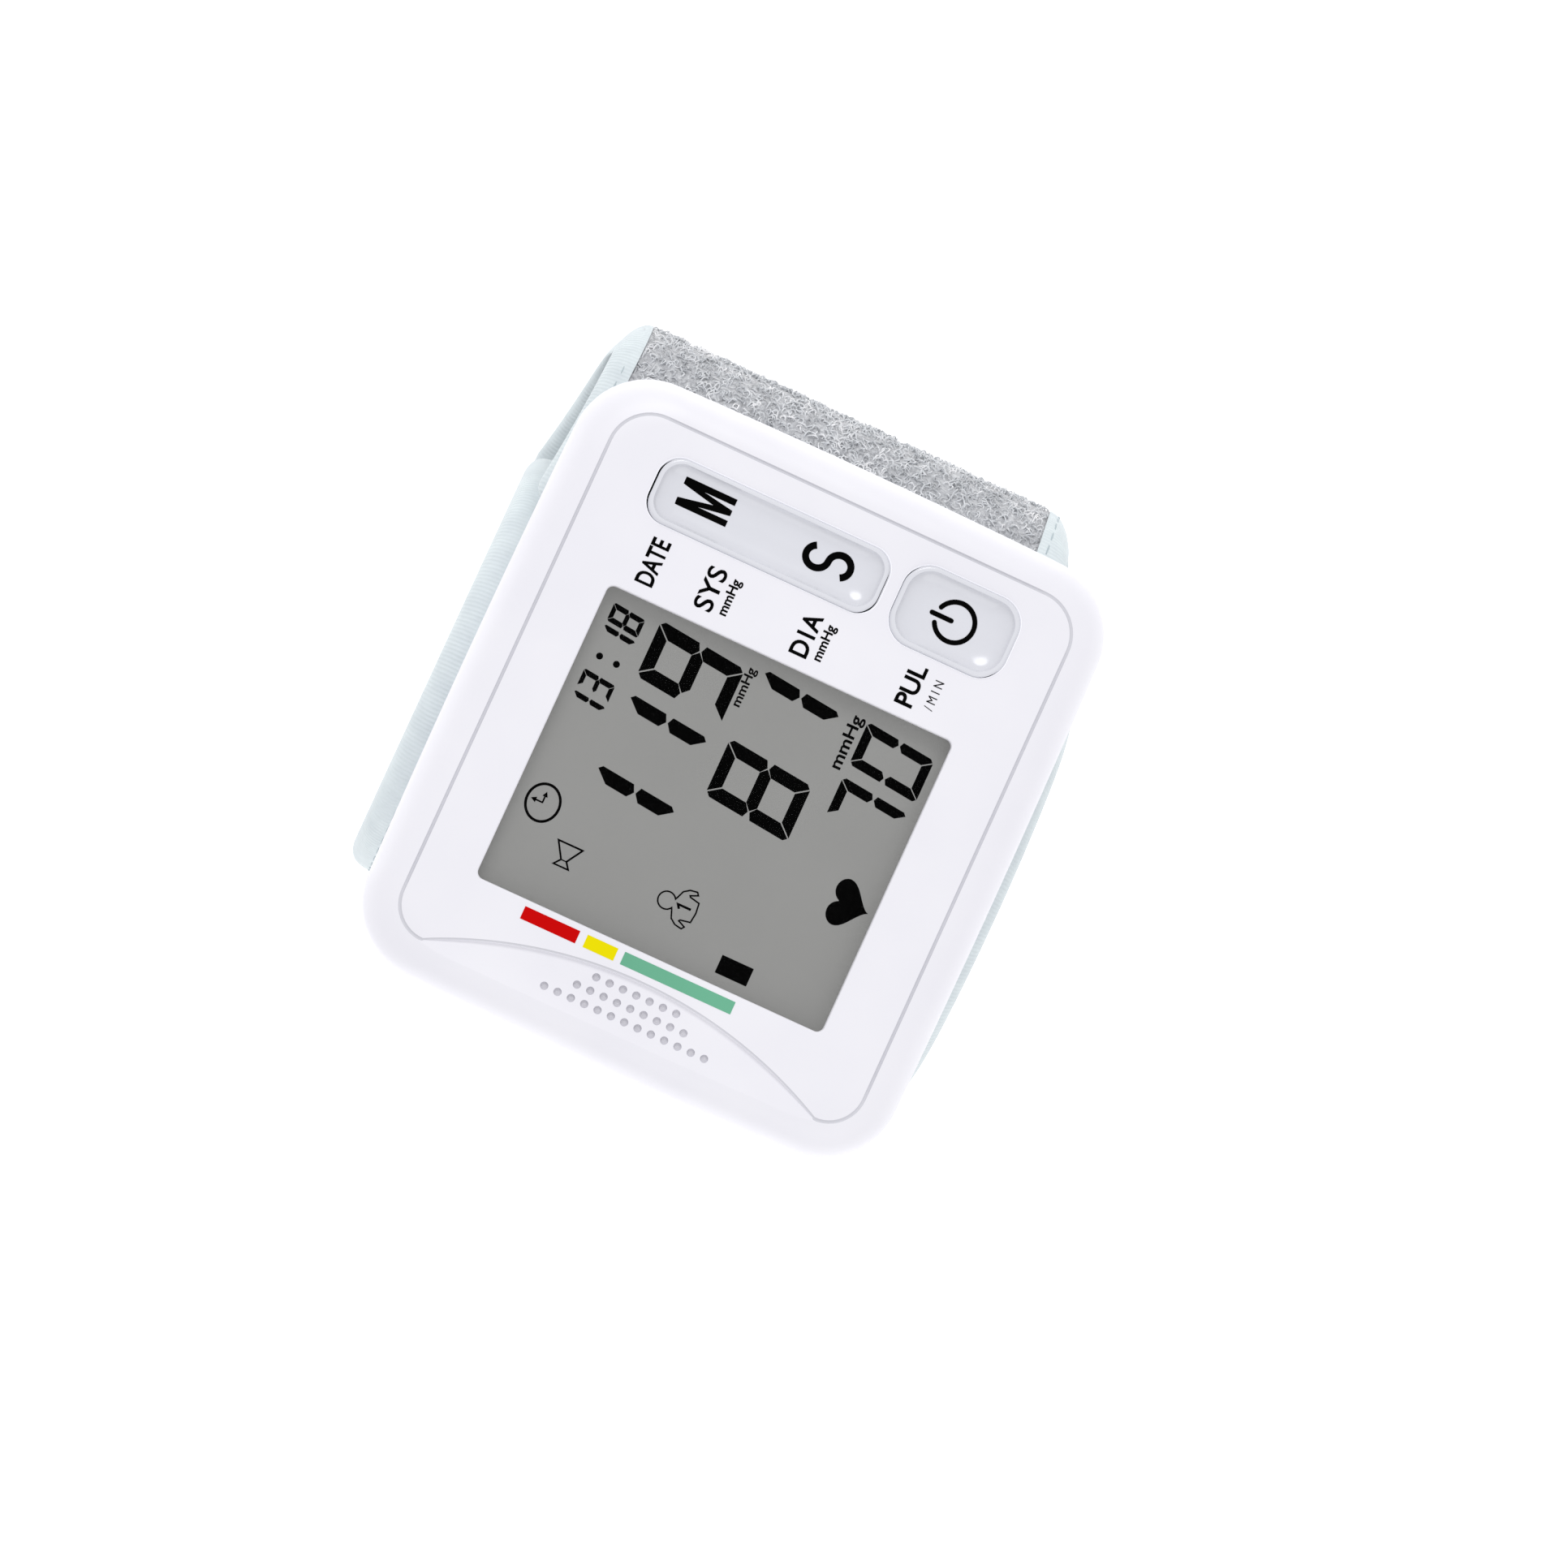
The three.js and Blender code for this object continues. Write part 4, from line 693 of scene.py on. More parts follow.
def make_key(name, half, radius, middle, stems, body, node):
    """A key cap: an upright wall, a round lip, a bowl for the fingertip inside it, and stems below."""
    lip = lip_width / 2
    low_z = face_z - face_wall - pocket_roof
    top = face_z + key_rise
    x, y = middle
    levels = []
    for i in range(1, 9):
        angle = i / 8 * pi / 2
        levels.append((lip * (1 - cos(angle)), top - lip * (1 - sin(angle))))
    for i in range(1, 33):
        inset = lip + (bowl_end - lip) * i / 32
        levels.append((inset, top - bowl_drop(inset)))
    rings = [outline(*half, radius, z, middle) for z in (low_z, top - lip)]
    for inset, z in levels:
        corner = min(max(radius - 0.55 * inset, 0.6), half[0] - inset - 0.05)
        rings.append(outline(half[0] - inset, half[1] - inset, corner, z, middle))
    cap = piece(name, loft(rings), key_abs)
    for stem in stems:
        join(cap, rod_form(stem_radius, (x, y + stem, stem_low), (x, y + stem, top - 2)))
    if len(stems) > 1:
        reach = half[0] - 0.3
        join(cap, rod_form(boss_radius, (x - reach, y, pin_z), (x + reach, y, pin_z)))
        cut(cap, rod_form(pin_bore, (pin_low.x, y, pin_z), (pin_high.x, y, pin_z)))
    finish_piece(cap, body, node, "key_grey", 50)


# Printed marks and display segments
def ink(name, forms, material, body, z, follow=None, thickness=0.03, slot=None):
    """Flat marks of ink from outlines in the plane: each is lifted to its surface and given a thickness."""
    form = bmesh.new()
    for points in forms:
        if isinstance(points, bpy.types.Mesh):
            form.from_mesh(points)
        else:
            form.faces.new([form.verts.new((x, y, 0)) for x, y in points])
    bmesh.ops.triangulate(form, faces=form.faces)
    if follow:
        bmesh.ops.subdivide_edges(form, edges=[e for e in form.edges if e.calc_length() > 0.5], cuts=2,
                                  use_grid_fill=False)
        bmesh.ops.triangulate(form, faces=form.faces)
    bmesh.ops.recalc_face_normals(form, faces=form.faces)
    for face in form.faces:
        if face.normal.z < 0:
            face.normal_flip()
    raised = bmesh.ops.extrude_face_region(form, geom=form.faces[:])
    top = [e for e in raised["geom"] if isinstance(e, bmesh.types.BMVert)]
    for vert in form.verts:
        vert.co.z = z + (follow(vert.co.x, vert.co.y) if follow else 0)
    bmesh.ops.translate(form, vec=(0, 0, thickness), verts=top)
    bmesh.ops.recalc_face_normals(form, faces=form.faces)
    finish_piece(piece(name, form, material), body, None, slot)


def stroke(points, width, round_ends=True, around=False):
    """The outline of a pen stroke along points. A stroke that closes on itself is given as two halves."""
    points = [Vector(point) for point in points]
    left = []
    right = []
    count = len(points)
    for i, point in enumerate(points):
        before = points[i - 1] if i or around else point
        after = points[(i + 1) % count] if i + 1 < count or around else point
        a = (point - before).normalized() if before != point else (after - point).normalized()
        b = (after - point).normalized() if after != point else a
        way = (a + b).normalized()
        side = Vector((-way.y, way.x))
        reach = width / 2 / max(side.dot(Vector((-a.y, a.x))), 0.5)
        left.append(point + side * reach)
        right.append(point - side * reach)
    if around:
        return left, right
    caps = []
    for place, way in ((points[-1], points[-1] - points[-2]), (points[0], points[0] - points[1])):
        start = atan2(way.y, way.x) + pi / 2
        turns = [start - pi * i / 8 for i in range(1, 8)] if round_ends else []
        caps.append([place + width / 2 * Vector((cos(turn), sin(turn))) for turn in turns])
    return [tuple(point) for point in left + caps[0] + right[::-1] + caps[1]]


def ring_mesh(points, width):
    """A closed stroke as a flat mesh."""
    form = bmesh.new()
    loops = []
    for side in stroke(points, width, around=True):
        verts = [form.verts.new((point.x, point.y, 0)) for point in side]
        loops += [form.edges.new(pair) for pair in zip(verts, verts[1:] + verts[:1])]
    bmesh.ops.bridge_loops(form, edges=loops)
    mesh = bpy.data.meshes.new("ring")
    form.to_mesh(mesh)
    form.free()
    return mesh


def circle(x, y, radius, start=0, turn=2 * pi, steps=48):
    return [(x + radius * cos(start + turn * i / steps), y + radius * sin(start + turn * i / steps))
            for i in range(steps if turn == 2 * pi else steps + 1)]


def words(text, x, y, width, height, weight=0.0, spacing=1.0):
    """Plain lettering as a flat mesh, fitted to a width and height round a middle."""
    curve = bpy.data.curves.new("words", "FONT")
    curve.body = text
    curve.offset = weight
    curve.space_character = spacing
    curve.resolution_u = 5
    mesh = curve_mesh("words", curve)
    xs = [vert.co.x for vert in mesh.vertices]
    ys = [vert.co.y for vert in mesh.vertices]
    low, high = Vector((min(xs), min(ys), 0)), Vector((max(xs), max(ys), 0))
    size = Matrix.Diagonal((width / (high.x - low.x), height / (high.y - low.y), 1, 1))
    mesh.transform(Matrix.Translation((x, y, 0)) @ size @ Matrix.Translation(-(low + high) / 2))
    return mesh


# Seven-segment digits: which segments are lit, from the top, clockwise, and the middle last
lit_segments = {"0": "abcdef", "1": "bc", "3": "abcdg", "7": "abc", "8": "abcdefg", "9": "abcdfg"}


def digit(character, x, y, width, height, u, t, slant=0.105):
    """A seven-segment digit from its lower left corner, with upright bars of width u and level ones of t."""
    gap = 0.0103 * height
    half = height / 2
    c = 0.3 * t

    def upper(side):
        inner = width - u if side > 0 else u
        outer = width if side > 0 else 0
        return [(outer, height - c - gap), (outer - side * c, height - gap), (inner, height - t - gap),
                (inner, half + t / 2), (outer - side * u / 2, half + gap), (outer, half + t / 4 + gap)]

    def mirrored(points):
        return [(px, height - py) for px, py in points]

    top = [(c + gap, height), (width - c - gap, height), (width - u - gap, height - t), (u + gap, height - t)]
    middle = [(u / 2 + gap, half), (u + gap / 2, half + t / 2), (width - u - gap / 2, half + t / 2),
              (width - u / 2 - gap, half), (width - u - gap / 2, half - t / 2), (u + gap / 2, half - t / 2)]
    forms = {"a": top, "b": upper(1), "c": mirrored(upper(1)), "d": mirrored(top), "e": mirrored(upper(-1)),
             "f": upper(-1), "g": middle}
    return [[(x + px + slant * py, y + py) for px, py in forms[name]] for name in lit_segments[character]]


# The upright picture of the face: its pixels per millimetre and the middle of the case in it
upright_scale = 16.48
upright_middle = (781, 723.5)


def upright(x, y):
    """A place on the face from a pixel of the upright picture."""
    return (x - upright_middle[0]) / upright_scale, (upright_middle[1] - y) / upright_scale


def around(x, y, points):
    """Points in millimetres round a pixel of the upright picture."""
    place_x, place_y = upright(x, y)
    return [(place_x + px, place_y + py) for px, py in points]


def make_display_marks():
    """The display's segments. Each digit is given by its left, right, top and bottom pixel."""
    forms = []
    for bars, digits in (
        ((1.76, 1.58), (("1", 585, 656, 473, 649), ("1", 738, 809, 473, 649), ("9", 843, 964, 467, 658))),
        ((1.68, 1.52), (("8", 687, 809, 688, 875), ("1", 892, 964, 695, 867))),
        ((1.24, 1.16), (("7", 753, 838, 923, 1070), ("0", 865, 957, 923, 1075))),
        ((0.66, 0.55), (("1", 740, 780, 368, 438), ("3", 788, 827, 368, 438), ("1", 883, 923, 368, 438),
                        ("8", 931, 970, 368, 438))),
    ):
        for character, x0, x1, y0, y1 in digits:
            left, bottom = upright(x0, y1)
            right, top = upright(x1, y0)
            forms += digit(character, left, bottom, right - left, top - bottom, *bars)
    for x, y in ((868, 385), (867, 422)):
        forms.append(circle(*upright(x, y), 0.42, steps=20))
    forms.append([upright(395, 920), upright(433, 920), upright(433, 852), upright(395, 852)])
    for x, y, width, height in ((932, 672, 82, 25), (918, 903, 113, 33)):
        forms.append(words("mmHg", *upright(x, y), width / upright_scale, height / upright_scale, 0.02))
    # Heart
    heart = []
    for i in range(48):
        t = 2 * pi * i / 48
        y = (13 * cos(t) - 5 * cos(2 * t) - 2 * cos(3 * t) - cos(4 * t)) / 6 + 0.35
        heart.append((2.97 * sin(t) ** 3, y))
    forms.append(around(626, 1040, heart[::-1]))
    # Clock, speaker and person with a number: the outlines, the pen strokes and the arrowheads
    dial = [(2.3 * x, 2.05 * y) for x, y in circle(0, 0, 1)]
    horn = [(-1.4, 1), (-0.6, 0.35), (1.42, 1.6), (1.42, -1.6), (-0.6, -0.35), (-1.4, -0.95)]
    head = circle(0, 1.25, 1.08, -pi / 2 + 0.55, 2 * pi - 1.1, 24)
    side = [(0.85, 0.2), (1.75, -0.15), (2.25, -0.85), (2.4, -1.75), (2.05, -2), (1.65, -1.1), (1.5, -1.2),
            (1.25, -2.45)]
    body = side + [(0, -2.6)] + [(-x, y) for x, y in side[::-1]] + head[::-1]
    for x, y, points, width in ((558, 404, dial, 0.33), (481, 489, horn, 0.23), (485, 727, body, 0.19)):
        forms.append(ring_mesh(around(x, y, points), width))
    for x, y, points, width, round_ends in (
        (558, 403, [(0, 0), (0, 1.1)], 0.2, True), (558, 403, [(0, 0), (0.95, 0)], 0.2, True),
        (481, 489, [(-0.6, -0.35), (-0.6, 0.35)], 0.15, True),
        (486, 743, [(-0.4, 0.45), (0.08, 0.8), (0.08, -0.9)], 0.3, False),
    ):
        forms.append(stroke(around(x, y, points), width, round_ends))
    for points in ([(-0.36, 0.85), (0.36, 0.85), (0, 1.5)], [(0.75, -0.34), (1.4, 0), (0.75, 0.34)]):
        forms.append(around(558, 403, points))
    ink("display_segments", forms, segment_black, "monitor", span("lcd_panel")[1].z + 0.01, thickness=0.02,
        slot="display_grey")


def make_face_prints():
    forms = [
        words("DATE", 18.0, 19.5, 5.8, 2.35, 0.022),
        words("SYS", 18.0, 11.9, 5.4, 2.45, 0.013),
        words("mmHg", 18.0, 9.3, 4.6, 1.6, 0.025),
        words("DIA", 17.8, -0.8, 5.4, 2.35, 0.022, 1.25),
        words("mmHg", 17.8, -3.3, 4.6, 1.6, 0.025),
        words("PUL", 17.6, -14.8, 5.2, 2.35, 0.022),
        words("/MIN", 17.6, -17.8, 3.7, 1.15, 0, 1.6),
    ]
    ink("face_legends", forms, legend_ink, "monitor", face_z, slot="black_plastic")
    for name, material, low, high in (
        ("bar_red", red_ink, 9.0, 16.2), ("bar_yellow", yellow_ink, 4.0, 8.0),
        ("bar_green", green_ink, -11.4, 3.1),
    ):
        ink(name, [[(-27.3, low), (-25.7, low), (-25.7, high), (-27.3, high)]], material, "monitor", face_z)


def on_key(half, middle):
    """The height of a key's bowl above its lip at a place."""
    def height(x, y):
        return -bowl_drop(min(half[0] - abs(x - middle[0]), half[1] - abs(y - middle[1])))
    return height


def make_key_legends():
    """The letters M and S on the rocker key, and the power sign."""
    top = face_z + key_rise + 0.01
    outer = [(-1.78, -3.35), (-1.78, 3.35), (-0.88, 3.35), (0, -1)]
    inner = [(-0.34, -3.35), (-0.98, 0.7), (-0.98, -3.35)]
    m = outer + [(-x, y) for x, y in outer[2::-1]] + [(-x, y) for x, y in inner[::-1]] + inner
    middle_x, middle_y = 27, 0.38
    s = []
    for i in range(25):
        turn = radians(25) + radians(245) * i / 24
        s.append((middle_x + 1.34 * cos(turn), middle_y + 1.44 + 1.44 * sin(turn)))
    tail = [(2 * middle_x - x, 2 * middle_y - y) for x, y in s[::-1]]
    letters = [[(27.33 + x, 16.72 + y) for x, y in m], stroke(s + tail[1:], 0.85, False)]
    x, y = 26.75, -16.5
    arc = circle(x, y, 2.45, pi / 2 + 0.42, 2 * pi - 0.84)
    sign = [stroke(arc, 0.6), stroke([(x, y + 0.45), (x, y + 3)], 0.6)]
    for name, forms, body, half, middle in (
        ("memory_set_legends", letters, "memory_set", memory_half, memory_middle),
        ("power_legend", sign, "power", power_half, power_middle),
    ):
        ink(name, forms, legend_ink, body, top, on_key(half, middle), slot="black_plastic")


# The cuff's path, from the inner end of the band round the wrist to the tip of the flap
crown_turn = radians(25)
shoulder_turn = radians(45)
side_turn = pi / 2 - crown_turn - shoulder_turn
crown_end = crown_turn + shoulder_turn


def quarter_radii(width):
    """The radii of the crown and side arcs that take a quarter over a width, round the shoulder."""
    rest_x = width - shoulder_radius * (sin(crown_end) - sin(crown_turn))
    rest_z = loop_half_height - shoulder_radius * (cos(crown_turn) - cos(crown_end))
    side_short = 1 - sin(crown_end)
    crown_short = 1 - cos(crown_turn)
    divisor = sin(crown_turn) * cos(crown_end) - side_short * crown_short
    crown = (rest_x * cos(crown_end) - rest_z * side_short) / divisor
    side = (rest_z * sin(crown_turn) - rest_x * crown_short) / divisor
    return crown, side


upper_crown, upper_side = quarter_radii(loop_half_width)
lower_crown, lower_side = quarter_radii(loop_half_width - foot_half)
foot_radius = (hinge.z + foot_depth) / (1 - cos(hinge_slope))
foot_run = hinge.x - foot_radius * sin(hinge_slope)
bulge_height = crown_z - bulge_drop
tip_height = crown_z - tip_drop
across_x = bulge_x - hinge.x
across_z = bulge_height - hinge.z
rise_radius = ((across_z * cos(hinge_slope) - across_x * sin(hinge_slope))
               / (cos(hinge_slope) ** 2 - (1 - sin(hinge_slope)) * sin(hinge_slope)))
rise_run = (across_x - rise_radius * (1 - sin(hinge_slope))) / cos(hinge_slope)
over_turn = pi / 2 - bulge_turn
over_radius = (tip_height - bulge_height - bulge_radius * sin(bulge_turn)) / (1 - cos(over_turn))
shoulder_leg = (shoulder_radius * shoulder_turn, shoulder_turn)
band_legs = [
    (upper_side * 2 * side_turn, 2 * side_turn),
    shoulder_leg,
    (upper_crown * 2 * crown_turn, 2 * crown_turn),
    shoulder_leg,
    (upper_side * side_turn, side_turn),
    (lower_side * side_turn, side_turn),
    shoulder_leg,
    (lower_crown * crown_turn, crown_turn),
    (foot_half + foot_run, 0),
    (foot_radius * hinge_slope, hinge_slope),
]
flap_legs = [
    (rise_run, 0),
    (rise_radius * (pi / 2 - hinge_slope), pi / 2 - hinge_slope),
    (bulge_radius * bulge_turn, bulge_turn),
    (over_radius * over_turn, over_turn),
    (tape_width, 0),
]
band_end = sum(length for length, turn in band_legs)
flap_end = sum(length for length, turn in flap_legs)
cuff_end = band_end + flap_end
bulge_run = rise_run + rise_radius * (pi / 2 - hinge_slope)
split_run = band_end - 10


def on_cuff(run, y, depth):
    """The place at a run along the cuff, a distance across it and a depth in from its outer face."""
    x = loop_half_width - upper_side * (1 - cos(side_turn))
    z = loop_centre_z - upper_side * sin(side_turn)
    heading = pi / 2 - side_turn
    left = run
    for length, turn in band_legs + flap_legs:
        step = min(left, length)
        if turn:
            radius = length / turn
            following = heading + step / radius
            x += radius * (sin(following) - sin(heading))
            z += radius * (cos(heading) - cos(following))
            heading = following
        else:
            x += step * cos(heading)
            z += step * sin(heading)
        left -= step
        if left <= 0:
            break
    return Vector((x - sin(heading) * depth, y, max(z + cos(heading) * depth, 0)))


def smooth(share):
    share = min(max(share, 0), 1)
    return share * share * (3 - 2 * share)


def towards_flap(run):
    """A share that rises smoothly from 0 where the flap's cloth begins to 1 at the hinge."""
    return smooth((run - split_run) / (band_end - split_run))


def edge_at(run, side):
    """How far the cuff's edge is from its middle: even on the band, drawn in along the flap."""
    at_hinge, at_middle, at_tip = edge_shares[side]
    if run < band_end:
        width = cuff_half + (0 if side > 0 else slack_edge)
        width += (cuff_half * at_hinge - width) * towards_flap(run)
    else:
        share = (run - band_end) / flap_end
        width = cuff_half * (at_hinge * (1 - share) * (1 - 2 * share) + at_middle * 4 * share * (1 - share)
                             + at_tip * share * (2 * share - 1))
    near = min(run, cuff_end - run)
    if near < end_radius:
        width -= end_radius - sqrt(max(end_radius ** 2 - (end_radius - near) ** 2, 0))
    return width


def tape_at(run, side):
    """The visible width of the tape: it is narrower along the flap's edge on the hand's side."""
    if side < 0:
        return tape_width
    return tape_width + (narrow_tape - tape_width) * smooth((run - split_run) / 12)


def cloth_bounds(run, tuck):
    """The places across the cuff where the cloth ends, tucked under the tape at each side."""
    return -edge_at(run, -1) + tape_width - tuck, edge_at(run, 1) - tape_at(run, 1) + tuck


def thickness_at(run):
    """The cuff's thickness: the flap's from the hinge on, where the bladder and the curler have ended."""
    return cuff_thickness + (flap_thickness - cuff_thickness) * towards_flap(run)


def curl_at(run, across):
    """How far the flap's tape curls in at its bulge, at a share of its width."""
    return bulge_curl * exp(-(((run - band_end - bulge_run) / curl_reach) ** 2)) * across ** 2


def grid_form(run_steps, across_steps, place, size):
    """A sheet from a grid: place gives a point for two shares, and the map is in millimetres."""
    form = bmesh.new()
    bmesh.ops.create_grid(form, x_segments=run_steps, y_segments=across_steps, size=0.5)
    layer = form.loops.layers.uv.new("cloth_map")
    for face in form.faces:
        for corner in face.loops:
            corner[layer].uv = ((corner.vert.co.x + 0.5) * size[0], (corner.vert.co.y + 0.5) * size[1])
    for vert in form.verts:
        vert.co = place(vert.co.x + 0.5, vert.co.y + 0.5)
    return form


def thicken(made, thickness, offset=-1):
    """Gives a sheet its thickness behind its outer face."""
    wall = made.modifiers.new("cloth_thickness", "SOLIDIFY")
    wall.thickness = thickness * mm
    wall.offset = offset


before_hinge = on_cuff(band_end - 3, 0, 0) * mm
after_hinge = on_cuff(band_end + 3, 0, 0) * mm


def finish_cloth(made, body, node, slot):
    """Finishes a soft piece. A piece of the flap is put on no body, and its place is baked into its mesh."""
    finish_piece(made, None if body == "flap" else body, node, slot, 180)
    if body == "flap":
        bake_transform(made)


def closed_cloth(name, form, material, body, node, slot):
    """A finished soft piece from a form that closes on itself, or whose side doesn't matter."""
    bmesh.ops.recalc_face_normals(form, faces=form.faces)
    made = piece(name, form, material)
    finish_cloth(made, body, node, slot)
    return made


def make_fabrics():
    """The loop fabric and the lining of the band and the flap, tucked under the tape at each side."""
    tuck = 1
    steps_per_mm = 1.4
    for part, body, start, end, inside_x in (("cuff", "monitor", tape_width - tuck, split_run, 0),
                                             ("flap", "flap", split_run, cuff_end - tape_width + tuck, 20)):
        for name, node, slot, inner, thick, lumps, material in (
            ("loop_fabric", "outer_fabric", "grey_loop", False, fabric_thickness, 0.12, loop_fabric),
            ("lining_cloth", "lining", "lining_cloth", True, lining_thickness, 0.04, lining_knit),
        ):
            def place(u, v):
                here = start + u * (end - start)
                arm, hand = cloth_bounds(here, tuck)
                y = arm + (hand - arm) * v
                deep = thickness_at(here) if inner else 0
                lift = lumps * noise.fractal(on_cuff(here, y, deep) / 1.7, 0.9, 2, 3)
                return on_cuff(here, y, deep - lift)

            form = grid_form(int((end - start) * steps_per_mm), int(2 * cuff_half * steps_per_mm), place,
                             (end - start, 2 * cuff_half))
            form.normal_update()
            form.faces.ensure_lookup_table()
            face = form.faces[len(form.faces) // 2]
            out = face.calc_center_median() - Vector((inside_x, 0, loop_centre_z))
            if (face.normal.dot(out) < 0) != inner:
                bmesh.ops.reverse_faces(form, faces=form.faces)
            made = piece(f"{part}_{name}", form, material)
            finish_cloth(made, body, f"{part}_{node}", slot)
            thicken(made, thick)


def fold(v):
    """The turn round a folded tape at a share of its width, and its reach out from the fabric."""
    turn = pi / 2 * (1 - cos(pi * v))
    return turn, sqrt(max(sin(turn), 0))


def tape_form(start, end, side):
    """A folded tape along one edge: full where it holds the layers, round and thin at its own edge."""
    run = end - start

    def place(u, v):
        here = start + u * run
        turn, across = fold(v)
        thick = thickness_at(here)
        half = thick / 2 + 0.25
        near = min(here, cuff_end - here)
        if near < tape_width:
            half *= sqrt(max(1 - (1 - near / tape_width) ** 4, 0.0001))
        y = side * (edge_at(here, side) - tape_at(here, side) * (1 - across))
        return on_cuff(here, y, thick / 2 - half * cos(turn) + curl_at(here, across))

    return grid_form(int(run * 1.2), 28, place, (run, 2 * tape_width + flap_thickness))


def end_tape_form(at_tip):
    """The tape across an end of the cuff, tucked under the tapes along its edges."""
    tucked = cuff_end - tape_width if at_tip else tape_width
    hand = edge_at(tucked, 1) - tape_width + tape_tuck
    arm = -edge_at(tucked, -1) + tape_width - tape_tuck

    def place(u, v):
        turn, across = fold(v)
        back = tape_width * (1 - across)
        here = cuff_end - back if at_tip else back
        thick = thickness_at(here)
        return on_cuff(here, arm + (hand - arm) * u, thick / 2 - (thick / 2 + 0.15) * cos(turn))

    return grid_form(70, 24, place, (2 * cuff_half, 2 * tape_width + flap_thickness))


def make_tapes():
    for part, body, start, end, thick in (("cuff", "monitor", 0, split_run + 0.01, cuff_thickness),
                                          ("flap", "flap", split_run, cuff_end, flap_thickness)):
        for word, form, length in (
            ("hand", tape_form(start, end, 1), end - start),
            ("arm", tape_form(start, end, -1), end - start),
            ("end", end_tape_form(part == "flap"), 2 * (cuff_half - tape_width)),
        ):
            made = closed_cloth(f"{part}_tape_{word}", form, tape_cloth, body, f"{part}_binding", "pale_tape")


def threads(name, lines, thickness, material, body, slot, resolution=0):
    """Round threads along lines, as one soft piece."""
    curve = bpy.data.curves.new(name, "CURVE")
    curve.dimensions = "3D"
    curve.bevel_depth = thickness / 2
    curve.bevel_resolution = resolution
    curve.use_fill_caps = True
    for line in lines:
        spline = curve.splines.new("POLY")
        spline.points.add(len(line) - 1)
        for point, place in zip(spline.points, line):
            point.co = (*place, 1)
    mesh = curve_mesh(name, curve)
    mesh.materials.append(material)
    finish_cloth(add_object(name, mesh), body, None, slot)


def make_stitches():
    """A row of machine stitches on each tape, a third of its width from the fabric."""
    pitch = 2.6
    length = 1.9
    inset_from_fabric = 1.25
    dips = ((0, 0.25), (0.12, 0.05), (0.5, 0.0), (0.88, 0.05), (1, 0.25))
    for name, body, start, end in (("cuff_stitching", "monitor", 3, split_run),
                                   ("flap_stitching", "flap", split_run, cuff_end - 3)):
        lines = []
        for side in (1, -1):
            for i in range(int((end - start) / pitch)):
                here = start + i * pitch
                inset = tape_at(here, side) - inset_from_fabric
                y = side * (edge_at(here, side) - inset)
                across = 1 - inset / tape_width
                lines.append([on_cuff(here + length * share, y, -0.25 + dip + curl_at(here, across))
                              for share, dip in dips])
        threads(name, lines, 0.26, thread, body, "pale_tape", 1)


def make_pile():
    """Curled fibres that stand on the loop fabric, thick enough to show as single curls."""
    draw = random.Random(seed)
    flap_pile_end = cuff_end - tape_width - 0.3
    flap_pile_middle = (split_run + flap_pile_end) / 2
    for name, body, start, end, count in (
        ("flap_pile_root", "flap", split_run, flap_pile_middle, 3500),
        ("flap_pile_tip", "flap", flap_pile_middle, flap_pile_end, 3500),
        ("cuff_pile_right", "monitor", tape_width + 0.3, split_run * 0.36, 3200),
        ("cuff_pile_left", "monitor", split_run * 0.36, split_run * 0.7, 5200),
        ("cuff_pile_foot", "monitor", split_run * 0.7, split_run, 3600),
    ):
        lines = []
        for i in range(count):
            here = draw.uniform(start, end)
            arm, hand = cloth_bounds(here, -0.2)
            y = draw.uniform(arm, hand)
            way = draw.uniform(0, 2 * pi)
            reach = draw.uniform(0.35, 0.75)
            rise = draw.uniform(0.25, 0.6)
            bend = draw.uniform(-0.9, 0.9)
            line = []
            for share in (0, 0.25, 0.5, 0.75, 1):
                turn = way + bend * 2 * share
                across = y + reach * (share - 0.5) * 2 * sin(turn)
                line.append(on_cuff(here + reach * (share - 0.5) * 2 * cos(turn), min(max(across, arm), hand),
                                    0.1 - rise * sin(pi * share)))
            lines.append(line)
        threads(name, lines, 0.2, fibre, body, "grey_loop")


def make_hook_patch():
    """The hook tape inside the flap's tip, with its rows of hooks."""
    low, high = span("hook_patch")
    start = cuff_end - tape_width - layer_gap - 11
    end = cuff_end - layer_gap
    depth = flap_thickness + layer_gap
    margin = 6
    pitch = 1.45
    hand = edge_at(cuff_end - 5, 1) - margin
    arm = -edge_at(cuff_end - 5, -1) + margin

    def place(u, v):
        return on_cuff(start + (end - start) * u, arm + (hand - arm) * v, depth)

    base = grid_form(20, 60, place, (11, 57))
    made = closed_cloth("hook_tape", base, hook_nylon, "flap", "hook_patch", "hook_nylon")
    thicken(made, 0.4, 0)
    lines = []
    for row in range(10):
        for column in range(38):
            here = start + 0.8 + row * pitch
            y = low.y + 1 + column * pitch
            if y <= high.y - 1:
                lines.append([on_cuff(here + lean, y, depth + rise)
                              for lean, rise in ((0, 0.1), (0, 0.75), (0.25, 0.95), (0.5, 0.75))])
    threads("hook_tape_hooks", lines, 0.22, hook_nylon, "flap", "hook_nylon")


